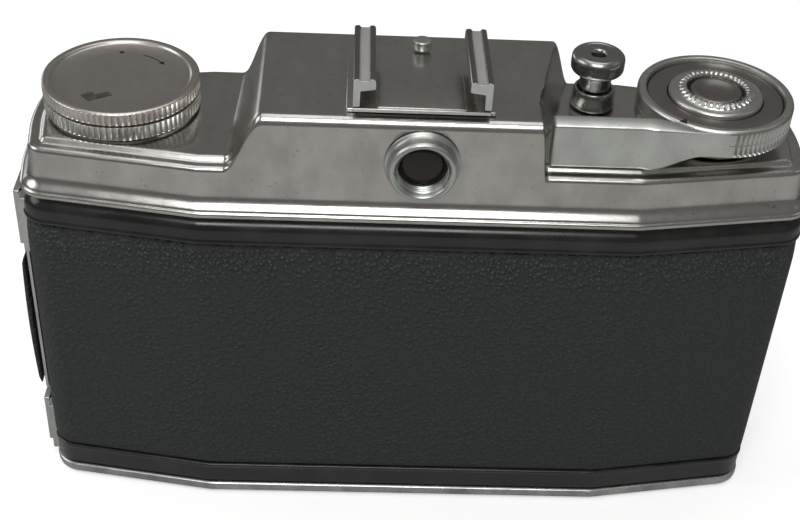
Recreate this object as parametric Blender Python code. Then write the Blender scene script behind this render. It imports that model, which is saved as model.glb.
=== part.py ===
"""A compact 35 mm stereo camera, built from its separate pieces.

Lengths are written in millimetres and turned into metres as each piece is made.
+X is the photographer's left, -Y the side that the lenses face, +Y the rear door, +Z up.
The origin is the middle of the bottom plate's underside.
"""
import math

import bmesh
import bpy
from mathutils import Matrix

MM = 0.001

# ---- driving dimensions, in mm ------------------------------------------------------
HALF_DEPTH = 17.3            # front and rear faces of the body
FLAT_HALF = 34.8             # half of the flat middle of the front and rear
CORNER = (62.9, 12.7)        # the angled faces meet the end walls here
END_X = 64.2                 # middle of the bowed end walls
END_POINT = END_X + 0.4      # where the two straight halves of an end wall would meet
BASE_TOP = 2.3               # bottom plate
DOOR_BOTTOM = 2.6
DOOR_TOP = 60.6
COVER_BOTTOM = 61.0
WING_TOP = 69.9              # the lower decks at the two ends
HUMP_TOP = 78.5              # the raised middle
SHEET = 1.1                  # thickness of the cover's metal
SPLIT_Y = 1.0                # the door holds everything behind this
GAP = 0.3                    # between pieces that touch

BUSH_XY = (0.0, -9.0)        # tripod bush
LENS_X = 24.0                # two 18 x 24 mm frames stand 48 mm apart
LENS_Z = 31.5
FRAME_HALF = (9.0, 12.0)     # half width and half height of one picture
BORE_RADIUS = 8.3            # the lens barrels pass through the front
BLADE_PIVOT = (15.6, 38.0)   # shutter blade pivot, beside each lens
BLADE_Y = -11.2
FILM_Y = 12.8                # the film runs behind the gate here

REWIND_XY = (48.0, -2.0)
KNOB_RADIUS = 12.5
CASSETTE_RADIUS = 12.9
HUB_XY = (-46.9, 1.6)        # wind lever, frame counter and take-up spool
HUB_RADIUS = 12.4
HUB_LOW = 72.9
HUB_HIGH = 77.7
SPOOL_RADIUS = 12.0
BLADE_LOW = 70.3             # the lever's finger blade
BLADE_HIGH = 78.2
BLADE_THICK = 3.0
RELEASE_XY = (-29.0, -6.5)

EYE_Z = 71.3                 # viewfinder axis
SHOE_FLOOR = 80.1
SHOE_LAND = 80.3
SHOE_X = 0.5                 # the shoe sits a little towards +X
SHOE_REAR = 14.4
SHOE_HALF = 10.4             # half of the accessory shoe's width

HINGE_XY = (-65.3, 1.15)
LATCH_INNER = END_X + 0.1    # the latch lies against the other end wall
LATCH_OUTER = 65.3

SMALL = 16                   # sides of small, middling and large round pieces
ROUND = 24
FINE = 36
KNURL_TEETH = 40

# colour, roughness and metallic value of each finish
LOOKS = {
    "chrome": ((0.62, 0.61, 0.58), 0.22, 1.0),
    "satin_metal": ((0.58, 0.60, 0.58), 0.38, 1.0),
    "steel": ((0.60, 0.61, 0.58), 0.32, 1.0),
    "black_metal": ((0.03, 0.03, 0.03), 0.5, 0.6),
    "black_paint": ((0.02, 0.02, 0.02), 0.3, 0.0),
    "black_plastic": ((0.02, 0.02, 0.02), 0.4, 0.0),
    "dark_dial": ((0.10, 0.09, 0.085), 0.35, 0.8),
    "leather": ((0.02, 0.02, 0.02), 0.55, 0.0),
    "glass": ((0.05, 0.05, 0.06), 0.05, 0.0),
}
MATERIALS = {}


# ---- scene, materials and objects ---------------------------------------------------
def clear_scene():
    for old in list(bpy.data.objects):
        bpy.data.objects.remove(old, do_unlink=True)


def make_material(name, colour, roughness, metallic):
    material = bpy.data.materials.new(name)
    material.use_nodes = True
    shader = material.node_tree.nodes["Principled BSDF"]
    shader.inputs["Base Color"].default_value = (*colour, 1.0)
    shader.inputs["Roughness"].default_value = roughness
    shader.inputs["Metallic"].default_value = metallic
    return material


def add_object(name, mesh_tool, material, at=(0.0, 0.0, 0.0)):
    """Finish a bmesh drawn in mm around the origin and place it at a point given in mm."""
    bmesh.ops.remove_doubles(mesh_tool, verts=mesh_tool.verts, dist=1e-4)
    bmesh.ops.recalc_face_normals(mesh_tool, faces=mesh_tool.faces)
    bmesh.ops.scale(mesh_tool, vec=(MM, MM, MM), verts=mesh_tool.verts)
    mesh = bpy.data.meshes.new(name)
    mesh_tool.to_mesh(mesh)
    mesh_tool.free()
    mesh.materials.append(MATERIALS[material])
    mesh.shade_smooth()
    mesh.set_sharp_from_angle(angle=math.radians(35))
    piece = bpy.data.objects.new(name, mesh)
    piece.location = [value * MM for value in at]
    bpy.context.collection.objects.link(piece)
    return piece


def boolean(target, mesh_tool, operation="DIFFERENCE", at=(0.0, 0.0, 0.0)):
    """Cut or join with a shape, whose own object stays out of the finished part."""
    tool = add_object(f"{target.name}_tool", mesh_tool, "steel", at=at)
    tool.hide_render = True
    tool.display_type = "WIRE"
    step = target.modifiers.new(tool.name, "BOOLEAN")
    step.operation = operation
    step.solver = "EXACT"
    step.object = tool


# ---- shapes -------------------------------------------------------------------------
def box(low, high, bevel=0.0, segments=1, into=None):
    shape = into or bmesh.new()
    made = bmesh.ops.create_cube(shape, size=1.0)["verts"]
    size = [high[i] - low[i] for i in range(3)]
    middle = [(high[i] + low[i]) / 2 for i in range(3)]
    bmesh.ops.scale(shape, vec=size, verts=made)
    bmesh.ops.translate(shape, vec=middle, verts=made)
    if bevel:
        edges = list({edge for vert in made for edge in vert.link_edges})
        bmesh.ops.bevel(shape, geom=edges, offset=bevel, segments=segments,
                        profile=0.5, affect="EDGES", clamp_overlap=True)
    return shape


def turned(profile, sides=ROUND, closed=False, into=None, at=(0.0, 0.0, 0.0), along="Z"):
    """Spin (radius, height) points about an axis; an open profile starts and ends on it."""
    shape = into or bmesh.new()
    corner = {"Z": lambda r, h: (r, 0.0, h), "Y": lambda r, h: (r, h, 0.0)}[along]
    axis = {"Z": (0.0, 0.0, 1.0), "Y": (0.0, 1.0, 0.0)}[along]
    points = [[at[i] + corner(r, h)[i] for i in range(3)] for r, h in profile]
    verts = [shape.verts.new(point) for point in points]
    pairs = list(zip(verts, verts[1:]))
    if closed:
        pairs.append((verts[-1], verts[0]))
    edges = [shape.edges.new(pair) for pair in pairs]
    bmesh.ops.spin(shape, geom=verts + edges, cent=at, axis=axis, dvec=(0.0, 0.0, 0.0),
                   angle=math.tau, steps=sides, use_merge=True, use_duplicate=False)
    bmesh.ops.remove_doubles(shape, verts=shape.verts, dist=1e-4)
    return shape


def tube(inner, outer, low, high, chamfer=0.0, **options):
    profile = [(inner, low), (outer, low), (outer, high), (inner, high)]
    if chamfer:
        profile = [(inner, low), (outer - chamfer, low), (outer, low + chamfer),
                   (outer, high - chamfer), (outer - chamfer, high), (inner, high)]
    return turned(profile, closed=True, **options)


def rod(radius, low, high, chamfer=0.0, **options):
    profile = [(0.0, low), (radius, low), (radius, high), (0.0, high)]
    if chamfer:
        profile = [(0.0, low), (radius - chamfer, low), (radius, low + chamfer),
                   (radius, high - chamfer), (radius - chamfer, high), (0.0, high)]
    return turned(profile, **options)


def prism(outline, low, high, along="Z"):
    """Pull a flat outline along an axis; its points are on the other two axes, in order."""
    place = {"X": lambda a, b, c: (c, a, b), "Y": lambda a, b, c: (a, c, b),
             "Z": lambda a, b, c: (a, b, c)}[along]
    return loft([[place(a, b, level) for a, b in outline] for level in (low, high)])


def loft(loops):
    """Skin a list of closed loops of (x, y, z) points and cap the two ends."""
    shape = bmesh.new()
    rings = [[shape.verts.new(point) for point in loop] for loop in loops]
    for below, above in zip(rings, rings[1:]):
        bridge(shape, below, above)
    shape.faces.new(rings[0])
    shape.faces.new(rings[-1])
    return shape


def bridge(shape, below, above):
    count = len(below)
    for i in range(count):
        shape.faces.new((below[i], below[(i + 1) % count], above[(i + 1) % count], above[i]))


def arc(centre, radius, start, end, steps):
    """Points on a circle in the plan, from one angle to another in degrees."""
    points = []
    for i in range(steps + 1):
        angle = math.radians(start + (end - start) * i / steps)
        points.append((centre[0] + radius * math.cos(angle), centre[1] + radius * math.sin(angle)))
    return points


def unit(x, y):
    length = math.hypot(x, y)
    return x / length, y / length


# ---- the body's plan ----------------------------------------------------------------
# corners (x, y, rounding radius, segments), anticlockwise from the middle of the +X end
END_ROUNDING = (36.0, 2)
CORNER_ROUNDING = (5.0, 3)
FLAT_ROUNDING = (6.0, 2)
PLAN = [(END_POINT, 0.0, *END_ROUNDING), (CORNER[0], CORNER[1], *CORNER_ROUNDING),
        (FLAT_HALF, HALF_DEPTH, *FLAT_ROUNDING), (-FLAT_HALF, HALF_DEPTH, *FLAT_ROUNDING),
        (-CORNER[0], CORNER[1], *CORNER_ROUNDING), (-END_POINT, 0.0, *END_ROUNDING),
        (-CORNER[0], -CORNER[1], *CORNER_ROUNDING), (-FLAT_HALF, -HALF_DEPTH, *FLAT_ROUNDING),
        (FLAT_HALF, -HALF_DEPTH, *FLAT_ROUNDING), (CORNER[0], -CORNER[1], *CORNER_ROUNDING)]
REAR_FLAT = 2                # PLAN's corners at which the rear and front flats begin
FRONT_FLAT = 7
LEAST_BEND = 0.6


def plan(inset=0.0, stations=()):
    """The plan outline moved inwards, with extra points on the flat front and rear."""
    corners = []
    count = len(PLAN)
    for i, (x, y, radius, segments) in enumerate(PLAN):
        before = PLAN[i - 1]
        after = PLAN[(i + 1) % count]
        into = unit(x - before[0], y - before[1])
        out = unit(after[0] - x, after[1] - y)
        turn = math.atan2(into[0] * out[1] - into[1] * out[0], into[0] * out[0] + into[1] * out[1])
        pull = inset / math.cos(turn / 2)
        inward = unit(-into[1] - out[1], into[0] + out[0])
        vertex = (x + inward[0] * pull, y + inward[1] * pull)
        bend = max(radius - inset, LEAST_BEND)
        reach = bend * math.tan(turn / 2)
        start = (vertex[0] - into[0] * reach, vertex[1] - into[1] * reach)
        centre = (start[0] - into[1] * bend, start[1] + into[0] * bend)
        first = math.degrees(math.atan2(start[1] - centre[1], start[0] - centre[0]))
        corners.append(arc(centre, bend, first, first + math.degrees(turn), segments))
    half = len(corners[0]) // 2
    ring = corners[0][half:]
    for i in range(1, count):
        ring += corners[i]
        if i == REAR_FLAT:
            ring += [(x, HALF_DEPTH - inset) for x in sorted(stations, reverse=True)]
        if i == FRONT_FLAT:
            ring += [(x, inset - HALF_DEPTH) for x in sorted(stations)]
    return ring + corners[0][:half]


def plan_side(inset, beyond, rear):
    """The plan outline behind (or in front of) a line of constant Y, from +X round to -X."""
    line = beyond if rear else -beyond
    ring = plan(inset)
    side = []
    entry = 0
    for (x0, y0), (x1, y1) in zip(ring, ring[1:] + ring[:1]):
        if y0 > line:
            side.append((x0, y0))
        if (y0 > line) != (y1 > line):
            if y1 > line:
                entry = len(side)
            side.append((x0 + (x1 - x0) * (line - y0) / (y1 - y0), line))
    side = side[entry:] + side[:entry]
    return side if rear else [(x, -y) for x, y in side]


# ---- top cover ----------------------------------------------------------------------
LEFT_SLOPE = ((24.4, 30.6), (24.9, 29.7))        # (top x, foot x) at the rear and at the front
RIGHT_SLOPE = ((-17.9, -19.3), (-22.2, -26.0))
SLOPE_FRONT = -13.0                              # the ends of the slopes stay put beyond these
SLOPE_REAR = 8.0
STATIONS = [30.4, 29.2, 28.0, 26.8, 25.6, 0.0, -17.8, -18.6, -19.4, -21.4, -23.6, -25.6]
REAR_FILLET = 1.7
FRONT_FILLET = 4.4
# (inset, height) up the stepped flange and the wall, then (inset, drop) over the rim
FLANGE = [(0.3, COVER_BOTTOM), (0.0, 61.4), (0.0, 62.1), (0.6, 62.9), (1.3, 63.9), (2.0, 65.2)]
WING_RIM = [(2.0, 1.9), (2.25, 1.1), (3.1, 0.7), (3.9, 0.0)]
INNER_WALL = [(1.6, COVER_BOTTOM), (1.6, 62.2), (3.1, 63.6)]
INNER_RIM = [(4.2, 1.3), (5.4, 0.0)]


def slope(x, y, ends, shift):
    """0 outside the hump, 1 on it, along one of its two S-shaped sides."""
    towards_rear = min(max((y - SLOPE_FRONT) / (SLOPE_REAR - SLOPE_FRONT), 0.0), 1.0)
    (rear_top, rear_foot), (front_top, front_foot) = ends
    top = front_top + (rear_top - front_top) * towards_rear + shift
    foot = front_foot + (rear_foot - front_foot) * towards_rear + shift
    part = min(max((x - foot) / (top - foot), 0.0), 1.0)
    return 0.5 - 0.5 * math.cos(math.pi * part)


def hump_share(x, y, shrink):
    return slope(x, y, LEFT_SLOPE, -shrink) * slope(x, y, RIGHT_SLOPE, shrink)


def deck_height(x, y, shrink):
    return WING_TOP - shrink + (HUMP_TOP - WING_TOP) * hump_share(x, y, shrink)


def cover_rings(rim, shrink):
    """Loops of points over the rim, from the wall to the edge of the deck."""
    loops = []
    for i, (inset, drop) in enumerate(rim):
        angle = math.pi / 2 * i / (len(rim) - 1)
        loop = []
        for x, y in plan(inset, STATIONS):
            share = hump_share(x, y, shrink)
            fillet = REAR_FILLET if y > 0 else FRONT_FILLET
            hump_inset = rim[0][0] + fillet * (1 - math.cos(angle))
            hump_drop = fillet * (1 - math.sin(angle))
            moved = y - math.copysign(1.0, y) * share * (hump_inset - inset)
            level = deck_height(x, y, shrink) - drop - share * (hump_drop - drop)
            loop.append((x, moved, level))
        loops.append(loop)
    return loops


def add_deck(shape, ring, rows, shrink):
    """Fill the loop at the deck's edge with strips that run from the rear to the front."""
    count = len(ring)
    half = count // 2
    columns = []
    for i in range(1, half):
        rear = ring[i]
        front = ring[count - i]
        column = [rear]
        for row in range(1, rows):
            x, y, _ = rear.co.lerp(front.co, row / rows)
            column.append(shape.verts.new((x, y, deck_height(x, y, shrink))))
        column.append(front)
        columns.append(column)
    for one, other in zip(columns, columns[1:]):
        for row in range(rows):
            shape.faces.new((one[row], other[row], other[row + 1], one[row + 1]))
    for end, column in ((ring[0], columns[0]), (ring[half], columns[-1])):
        for row in range(rows):
            shape.faces.new((end, column[row], column[row + 1]))


def make_top_cover():
    shape = bmesh.new()
    skins = []
    for wall, rim, shrink in ((FLANGE, WING_RIM, 0.0), (INNER_WALL, INNER_RIM, SHEET)):
        loops = [[(x, y, z) for x, y in plan(inset, STATIONS)] for inset, z in wall]
        loops += cover_rings(rim, shrink)
        rings = [[shape.verts.new(point) for point in loop] for loop in loops]
        for below, above in zip(rings, rings[1:]):
            bridge(shape, below, above)
        add_deck(shape, rings[-1], 3, shrink)
        skins.append(rings)
    bridge(shape, skins[0][0], skins[1][0])
    cover = add_object("top_cover", shape, "chrome")

    through = {"low": COVER_BOTTOM, "high": HUMP_TOP}
    holes = rod(3.4, at=(*REWIND_XY, 0.0), sides=SMALL, **through)
    rod(3.4, at=(*HUB_XY, 0.0), sides=SMALL, into=holes, **through)
    rod(2.7, at=(*RELEASE_XY, 0.0), sides=SMALL, into=holes, **through)
    rod(4.5, 8.0, 20.0, at=(0.0, 0.0, EYE_Z), along="Y", into=holes)
    box((-6.3, -20.0, 66.3), (6.3, -9.0, 72.7), into=holes)
    boolean(cover, holes)


# ---- body, plates and leathers ------------------------------------------------------
CASTING_TOP = 58.4
CHAMBER_FRONT = -12.0        # the light chambers' front wall
CHAMBER_REAR = 11.2
PARTITION = (12.4, 13.6)     # walls between the middle bay and the light chambers
CHAMBER_SIDE = 33.5
LEDGE = (END_X - 2.7, 3.2)   # the casting's light-trap lip inside the door


def bores(radius, low, high):
    """Two rods along the lens axes."""
    shape = bmesh.new()
    for side in (1, -1):
        rod(radius, low, high, at=(side * LENS_X, 0.0, LENS_Z), along="Y", into=shape)
    return shape


def make_body():
    cassette_x, cassette_y = REWIND_XY
    spool_x, spool_y = HUB_XY
    ledge_x, ledge_y = LEDGE
    front = plan_side(1.2, SPLIT_Y - GAP, rear=False)
    near, far = PARTITION
    outline = [(-ledge_x, ledge_y), (-ledge_x, SPLIT_Y - GAP)] + list(reversed(front))
    outline += [(ledge_x, SPLIT_Y - GAP), (ledge_x, ledge_y), (cassette_x + CASSETTE_RADIUS, ledge_y)]
    outline += arc((cassette_x, cassette_y), CASSETTE_RADIUS, 0, -180, 14)
    outline += [(cassette_x - CASSETTE_RADIUS, CHAMBER_REAR)]
    for left, right in ((CHAMBER_SIDE, far), (near, -near), (-far, -CHAMBER_SIDE)):
        outline += [(left, CHAMBER_REAR), (left, CHAMBER_FRONT), (right, CHAMBER_FRONT),
                    (right, CHAMBER_REAR)]
    outline += [(spool_x + SPOOL_RADIUS, CHAMBER_REAR)]
    outline += arc((spool_x, spool_y), SPOOL_RADIUS, 0, -180, 14)
    outline += [(spool_x - SPOOL_RADIUS, ledge_y)]
    body = add_object("body_casting", prism(outline, DOOR_BOTTOM, CASTING_TOP), "black_metal")
    boolean(body, bores(BORE_RADIUS, -20.0, -8.0))

    plate = add_object("mechanism_plate", prism(plan(4.0), 58.7, 60.1), "steel")
    holes = rod(3.4, 50.0, 70.0, at=(*REWIND_XY, 0.0), sides=SMALL)
    rod(3.4, 50.0, 70.0, at=(*HUB_XY, 0.0), sides=SMALL, into=holes)
    boolean(plate, holes)


def make_bottom_plate():
    edge = [(1.1, 0.0), (0.35, 0.3), (0.0, 1.0), (0.0, BASE_TOP), (1.2, BASE_TOP), (1.3, 1.1)]
    loops = [[(x, y, z) for x, y in plan(inset)] for inset, z in edge]
    plate = add_object("bottom_plate", loft(loops), "satin_metal")
    boolean(plate, rod(5.3, -1.0, 3.0, at=(*BUSH_XY, 0.0)))
    add_object("tripod_bush", tube(3.1, 4.9, 0.0, BASE_TOP), "steel", at=(*BUSH_XY, 0.0))


def make_front():
    seam_x = 33.4
    for name, side in (("left", 1), ("right", -1)):
        outer, inner = ([p for p in plan_side(inset, SPLIT_Y - GAP, rear=False)
                         if side * p[0] > seam_x + 0.6] for inset in (0.3, 0.9))
        seam_out = (side * seam_x, 0.3 - HALF_DEPTH)
        seam_in = (side * seam_x, 0.9 - HALF_DEPTH)
        if side > 0:
            outline = outer + [seam_out, seam_in] + list(reversed(inner))
        else:
            outline = [seam_out] + outer + list(reversed(inner)) + [seam_in]
        add_object(f"front_leather_{name}", prism(outline, 3.0, 60.2), "leather")
    plate = add_object("front_plate", box((-33.0, -18.1, 3.0), (33.0, -16.4, 60.2), bevel=0.6),
                       "satin_metal")
    holes = bores(BORE_RADIUS, -22.0, -12.0)
    rod(2.3, -22.0, -12.0, at=(0.0, 0.0, LENS_Z), along="Y", sides=SMALL, into=holes)
    boolean(plate, holes)


# ---- lenses, shutter blades and aperture dial ---------------------------------------
def make_lens(name, side):
    centre = (side * LENS_X, 0.0, LENS_Z)
    barrel = [(8.0, -12.3), (8.0, -24.2), (9.6, -24.2), (9.8, -24.6), (9.8, -25.8), (9.3, -26.2),
              (7.6, -26.2), (6.2, -24.6), (6.2, -12.3)]
    add_object(f"lens_barrel_{name}", turned(barrel, closed=True, along="Y"), "chrome", at=centre)
    front_glass = [(0.0, -24.4), (3.2, -24.2), (6.0, -23.4), (6.0, -21.8), (0.0, -21.8)]
    add_object(f"front_element_{name}", turned(front_glass, along="Y"), "glass", at=centre)
    rear_glass = [(0.0, -15.6), (6.0, -15.6), (6.0, -14.2), (3.2, -13.5), (0.0, -13.3)]
    add_object(f"rear_element_{name}", turned(rear_glass, along="Y"), "glass", at=centre)
    add_object(f"aperture_ring_{name}", tube(2.4, 5.9, -18.6, -18.2, along="Y"), "black_metal",
               at=centre)
    ring = tube(8.3, 10.8, -23.9, -19.4, chamfer=0.5, along="Y", sides=FINE)
    add_object(f"focus_ring_{name}", ring, "steel", at=centre)

    reach_x = LENS_X - BLADE_PIVOT[0]
    reach_z = LENS_Z - BLADE_PIVOT[1]
    length = math.hypot(reach_x, reach_z)
    outline = arc((0.0, 0.0), 1.5, 100, 260, 6) + arc((length, 0.0), 4.4, -110, 110, 12)
    blade = prism(outline, -0.2, 0.2, along="Y")
    swing = Matrix.Rotation(-math.atan2(reach_z, reach_x), 3, "Y")
    bmesh.ops.rotate(blade, cent=(0.0, 0.0, 0.0), verts=blade.verts, matrix=swing)
    bmesh.ops.scale(blade, vec=(side, 1.0, 1.0), verts=blade.verts)
    pivot = (side * BLADE_PIVOT[0], BLADE_Y, BLADE_PIVOT[1])
    add_object(f"shutter_blade_{name}", blade, "black_metal", at=pivot)


def make_front_dial():
    dial = [(0.0, -18.4), (8.8, -18.4), (9.4, -19.0), (9.4, -21.2), (8.8, -21.8), (6.6, -21.8),
            (6.2, -21.4), (0.0, -21.4)]
    add_object("aperture_dial", turned(dial, along="Y", sides=FINE), "steel", at=(0.0, 0.0, LENS_Z))


# ---- film path ----------------------------------------------------------------------
def make_film_path():
    gate = add_object("film_gate", box((-33.3, 11.5, 13.5), (33.3, FILM_Y, 49.5), bevel=0.25),
                      "black_metal")
    windows = bmesh.new()
    half_x, half_z = FRAME_HALF
    for side in (1, -1):
        x = side * LENS_X
        box((x - half_x, 8.0, LENS_Z - half_z), (x + half_x, 16.0, LENS_Z + half_z), into=windows)
    boolean(gate, windows)

    spool = [(0.0, 6.0), (9.0, 6.0), (9.0, 7.2), (4.6, 7.2), (4.6, 52.4), (9.0, 52.4), (9.0, 53.6),
             (3.0, 53.6), (3.0, 50.0), (0.0, 50.0)]
    add_object("take_up_spool", turned(spool), "black_plastic", at=(*HUB_XY, 0.0))

    plate = box((-31.0, 13.2, 14.5), (31.0, 14.1, 48.5), bevel=0.2)
    add_object("pressure_plate", plate, "black_metal")
    leaf_radius = 75.0
    leaf_crest = 14.8
    outline = arc((0.0, leaf_crest + leaf_radius), leaf_radius, 264, 276, 8)
    outline += [(x, y + 0.2) for x, y in reversed(outline)]
    add_object("pressure_spring", prism(outline, LENS_Z - 3.0, LENS_Z + 3.0), "steel")


# ---- rear door ----------------------------------------------------------------------
DOOR_SKIN = [(1.0, DOOR_BOTTOM), (0.3, 3.2), (0.25, 6.4), (0.0, 6.8), (0.95, 7.2), (0.95, 56.0),
             (0.0, 56.4), (0.25, 56.9), (0.25, 59.0), (0.5, 59.9), (1.1, DOOR_TOP)]
LEATHER_SKIN = [(0.6, 7.5), (0.2, 7.9), (0.12, 10.0), (0.12, 53.0), (0.2, 55.2), (0.6, 55.7)]
LEATHER_END = 3.0            # the leather stops short of the door's ends


def sheet(skin, inner_inset, end_y):
    """A U-shaped sheet: its outside follows (inset, height) pairs, its inside is upright."""
    inner = plan_side(inner_inset, end_y, rear=True)
    loops = []
    for inset, z in skin:
        outer = plan_side(inset, end_y, rear=True)
        loops.append([(x, y, z) for x, y in outer + list(reversed(inner))])
    return loft(loops)


def make_door():
    add_object("rear_door", sheet(DOOR_SKIN, 1.75, SPLIT_Y + GAP), "black_paint")
    add_object("door_leather", sheet(LEATHER_SKIN, 0.65, LEATHER_END), "leather")


def make_hinge():
    x, y = HINGE_XY
    add_object("hinge_pin", rod(0.5, 6.0, 56.0, chamfer=0.15, sides=12), "steel", at=(x, y, 0.0))
    leaf_low_x = x + 0.55
    leaf_high_x = x + 1.05
    for name, low, high, lug in (("hinge_knuckle_lower", 8.0, 15.7, -1),
                                 ("hinge_knuckle_door", 16.0, 46.0, 1),
                                 ("hinge_knuckle_upper", 46.3, 54.0, -1)):
        ends = sorted((y + lug * 0.75, y + lug * 4.0))
        knuckle = tube(0.7, 1.15, low, high, sides=SMALL)
        piece = add_object(name, knuckle, "satin_metal", at=(x, y, 0.0))
        leaf = box((leaf_low_x, ends[0], low + 0.01), (leaf_high_x, ends[1], high - 0.01))
        boolean(piece, leaf, "UNION")


# ---- door latch on the other end ----------------------------------------------------
LATCH_REAR = 7.4             # the strip's rear edge and its front edge
LATCH_FRONT = -5.5
TONGUE = 2.9                 # half width of the slider's tongues, which run under the guides
SLIDER_THICK = 0.45


def make_latch():
    notch = (TONGUE + GAP, LATCH_INNER + SLIDER_THICK + 0.2)
    outline = [(LATCH_INNER, LATCH_FRONT), (LATCH_OUTER, LATCH_FRONT), (LATCH_OUTER, LATCH_REAR),
               (LATCH_INNER, LATCH_REAR), (LATCH_INNER, notch[0]), (notch[1], notch[0]),
               (notch[1], -notch[0]), (LATCH_INNER, -notch[0])]
    for name, low, high in (("latch_guide_lower", 2.8, 13.1), ("latch_guide_upper", 47.9, 58.5)):
        add_object(name, prism(outline, low, high), "satin_metal")

    body_low, body_high = 15.2, 46.7
    tip_low, tip_high = 8.0, 52.0
    outline = [(-4.5, body_low), (-TONGUE, body_low), (-TONGUE, tip_low), (TONGUE, tip_low),
               (TONGUE, body_low), (6.6, body_low), (6.6, body_high), (TONGUE, body_high),
               (TONGUE, tip_high), (-TONGUE, tip_high), (-TONGUE, body_high), (-4.5, body_high)]
    slider = prism(outline, LATCH_INNER, LATCH_INNER + SLIDER_THICK, along="X")
    add_object("latch_slider", slider, "steel")

    grip_low, grip_high = 17.0, 44.8
    crown = 0.4
    middle = (grip_low + grip_high) / 2
    face = LATCH_INNER + SLIDER_THICK + GAP
    steps = 8
    outline = [(face, grip_high), (face, grip_low)]
    for i in range(steps + 1):
        level = grip_low + (grip_high - grip_low) * i / steps
        bulge = crown * (1 - ((level - middle) / (middle - grip_low)) ** 2)
        outline.append((face + 0.5 + bulge, level))
    add_object("latch_grip", prism(outline, -5.3, LATCH_REAR, along="Y"), "leather")


# ---- viewfinder and accessory shoe --------------------------------------------------
def make_viewfinder():
    centre = (0.0, 0.0, EYE_Z)
    eyepiece = [(3.2, 11.6), (4.2, 11.6), (4.2, 15.55), (5.9, 15.55), (5.9, 15.9), (5.25, 16.4),
                (5.25, 17.9), (4.95, 18.4), (4.35, 18.4), (3.9, 17.6), (3.9, 16.8), (3.2, 16.2)]
    add_object("eyepiece_barrel", turned(eyepiece, closed=True, along="Y"), "chrome", at=centre)
    lens = turned([(0.0, 12.0), (2.9, 12.3), (2.9, 14.4), (0.0, 15.3)], along="Y")
    add_object("eyepiece_lens", lens, "glass", at=centre)
    add_object("finder_tube", tube(3.6, 4.5, -9.5, 11.2, along="Y"), "black_metal", at=centre)
    bezel = add_object("finder_bezel", box((-6.0, -16.1, 66.6), (6.0, -13.2, 72.4), bevel=0.4),
                       "chrome")
    boolean(bezel, box((-4.9, -18.0, 67.6), (4.9, -12.0, 71.4)))
    add_object("finder_window", box((-4.6, -15.4, 67.9), (4.6, -14.4, 71.1)), "glass")


def make_shoe():
    at = (SHOE_X, 0.0, 0.0)
    spacer = box((-11.4, -6.5, HUMP_TOP + 0.1), (11.4, 13.0, 79.2), bevel=0.2)
    add_object("shoe_spacer", spacer, "chrome", at=at)
    base = box((-SHOE_HALF, SHOE_REAR - 19.9, 79.5), (SHOE_HALF, SHOE_REAR, SHOE_FLOOR))
    floor = add_object("shoe_base", base, "chrome", at=at)
    boolean(floor, box((-6.7, -2.6, 79.8), (6.7, SHOE_REAR - 0.3, SHOE_LAND)), "UNION", at=at)
    low = SHOE_FLOOR + GAP
    rail = [(SHOE_HALF, low), (SHOE_HALF, 84.95), (9.7, 85.1), (9.4, 84.7), (8.0, 84.7), (7.7, 85.1),
            (7.1, 84.95), (7.0, 83.3), (9.4, 83.0), (9.4, low)]
    for name, side in (("left", 1), ("right", -1)):
        outline = [(side * x, z) for x, z in rail]
        add_object(f"shoe_rail_{name}", prism(outline, SHOE_REAR - 17.1, SHOE_REAR, along="Y"),
                   "chrome", at=at)
    pin = rod(1.5, low, low + 1.6, chamfer=0.2, sides=SMALL)
    add_object("shoe_stop_pin", pin, "steel", at=(0.0, -4.4, 0.0))


# ---- rewind knob --------------------------------------------------------------------
def make_rewind():
    at = (*REWIND_XY, 0.0)
    add_object("rewind_bush", tube(1.8, 3.0, 60.4, 70.1), "steel", at=at)
    shaft = add_object("rewind_shaft", rod(1.5, 51.0, 72.9, sides=SMALL), "steel", at=at)
    boolean(shaft, box((-3.2, -0.6, 47.5), (3.2, 0.6, 53.0)), "UNION", at=at)
    add_object("reminder_ring", knurled(KNOB_RADIUS, 70.45, 72.85, bore=1.8), "steel", at=at)
    add_object("rewind_knob", knurled(KNOB_RADIUS, 73.15, 75.3, recess=10.8), "steel", at=at)


def knurled(radius, low, high, bore=0.0, recess=0.0):
    """A disc whose rim has straight teeth, with a bore or with a sunk top face."""
    shape = bmesh.new()
    depth = 0.35
    edge = 0.35
    sink = 0.45
    angles = [math.tau * (i + 0.5) / (2 * KNURL_TEETH) for i in range(2 * KNURL_TEETH)]

    def ring(level, reach, groove=0.0):
        return [shape.verts.new(((reach - groove * (i % 2)) * math.cos(angle),
                                 (reach - groove * (i % 2)) * math.sin(angle), level))
                for i, angle in enumerate(angles)]

    rings = [ring(low, radius - edge), ring(low + edge, radius, depth),
             ring(high - edge, radius, depth), ring(high, radius - edge)]
    if bore:
        rings = [ring(low, bore)] + rings + [ring(high, bore)]
        bridge(shape, rings[-1], rings[0])
    else:
        rings += [ring(high, recess), ring(high - sink, recess - 0.3)]
        shape.faces.new(rings[0])
        shape.faces.new(rings[-1])
    for below, above in zip(rings, rings[1:]):
        bridge(shape, below, above)
    return shape


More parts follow.
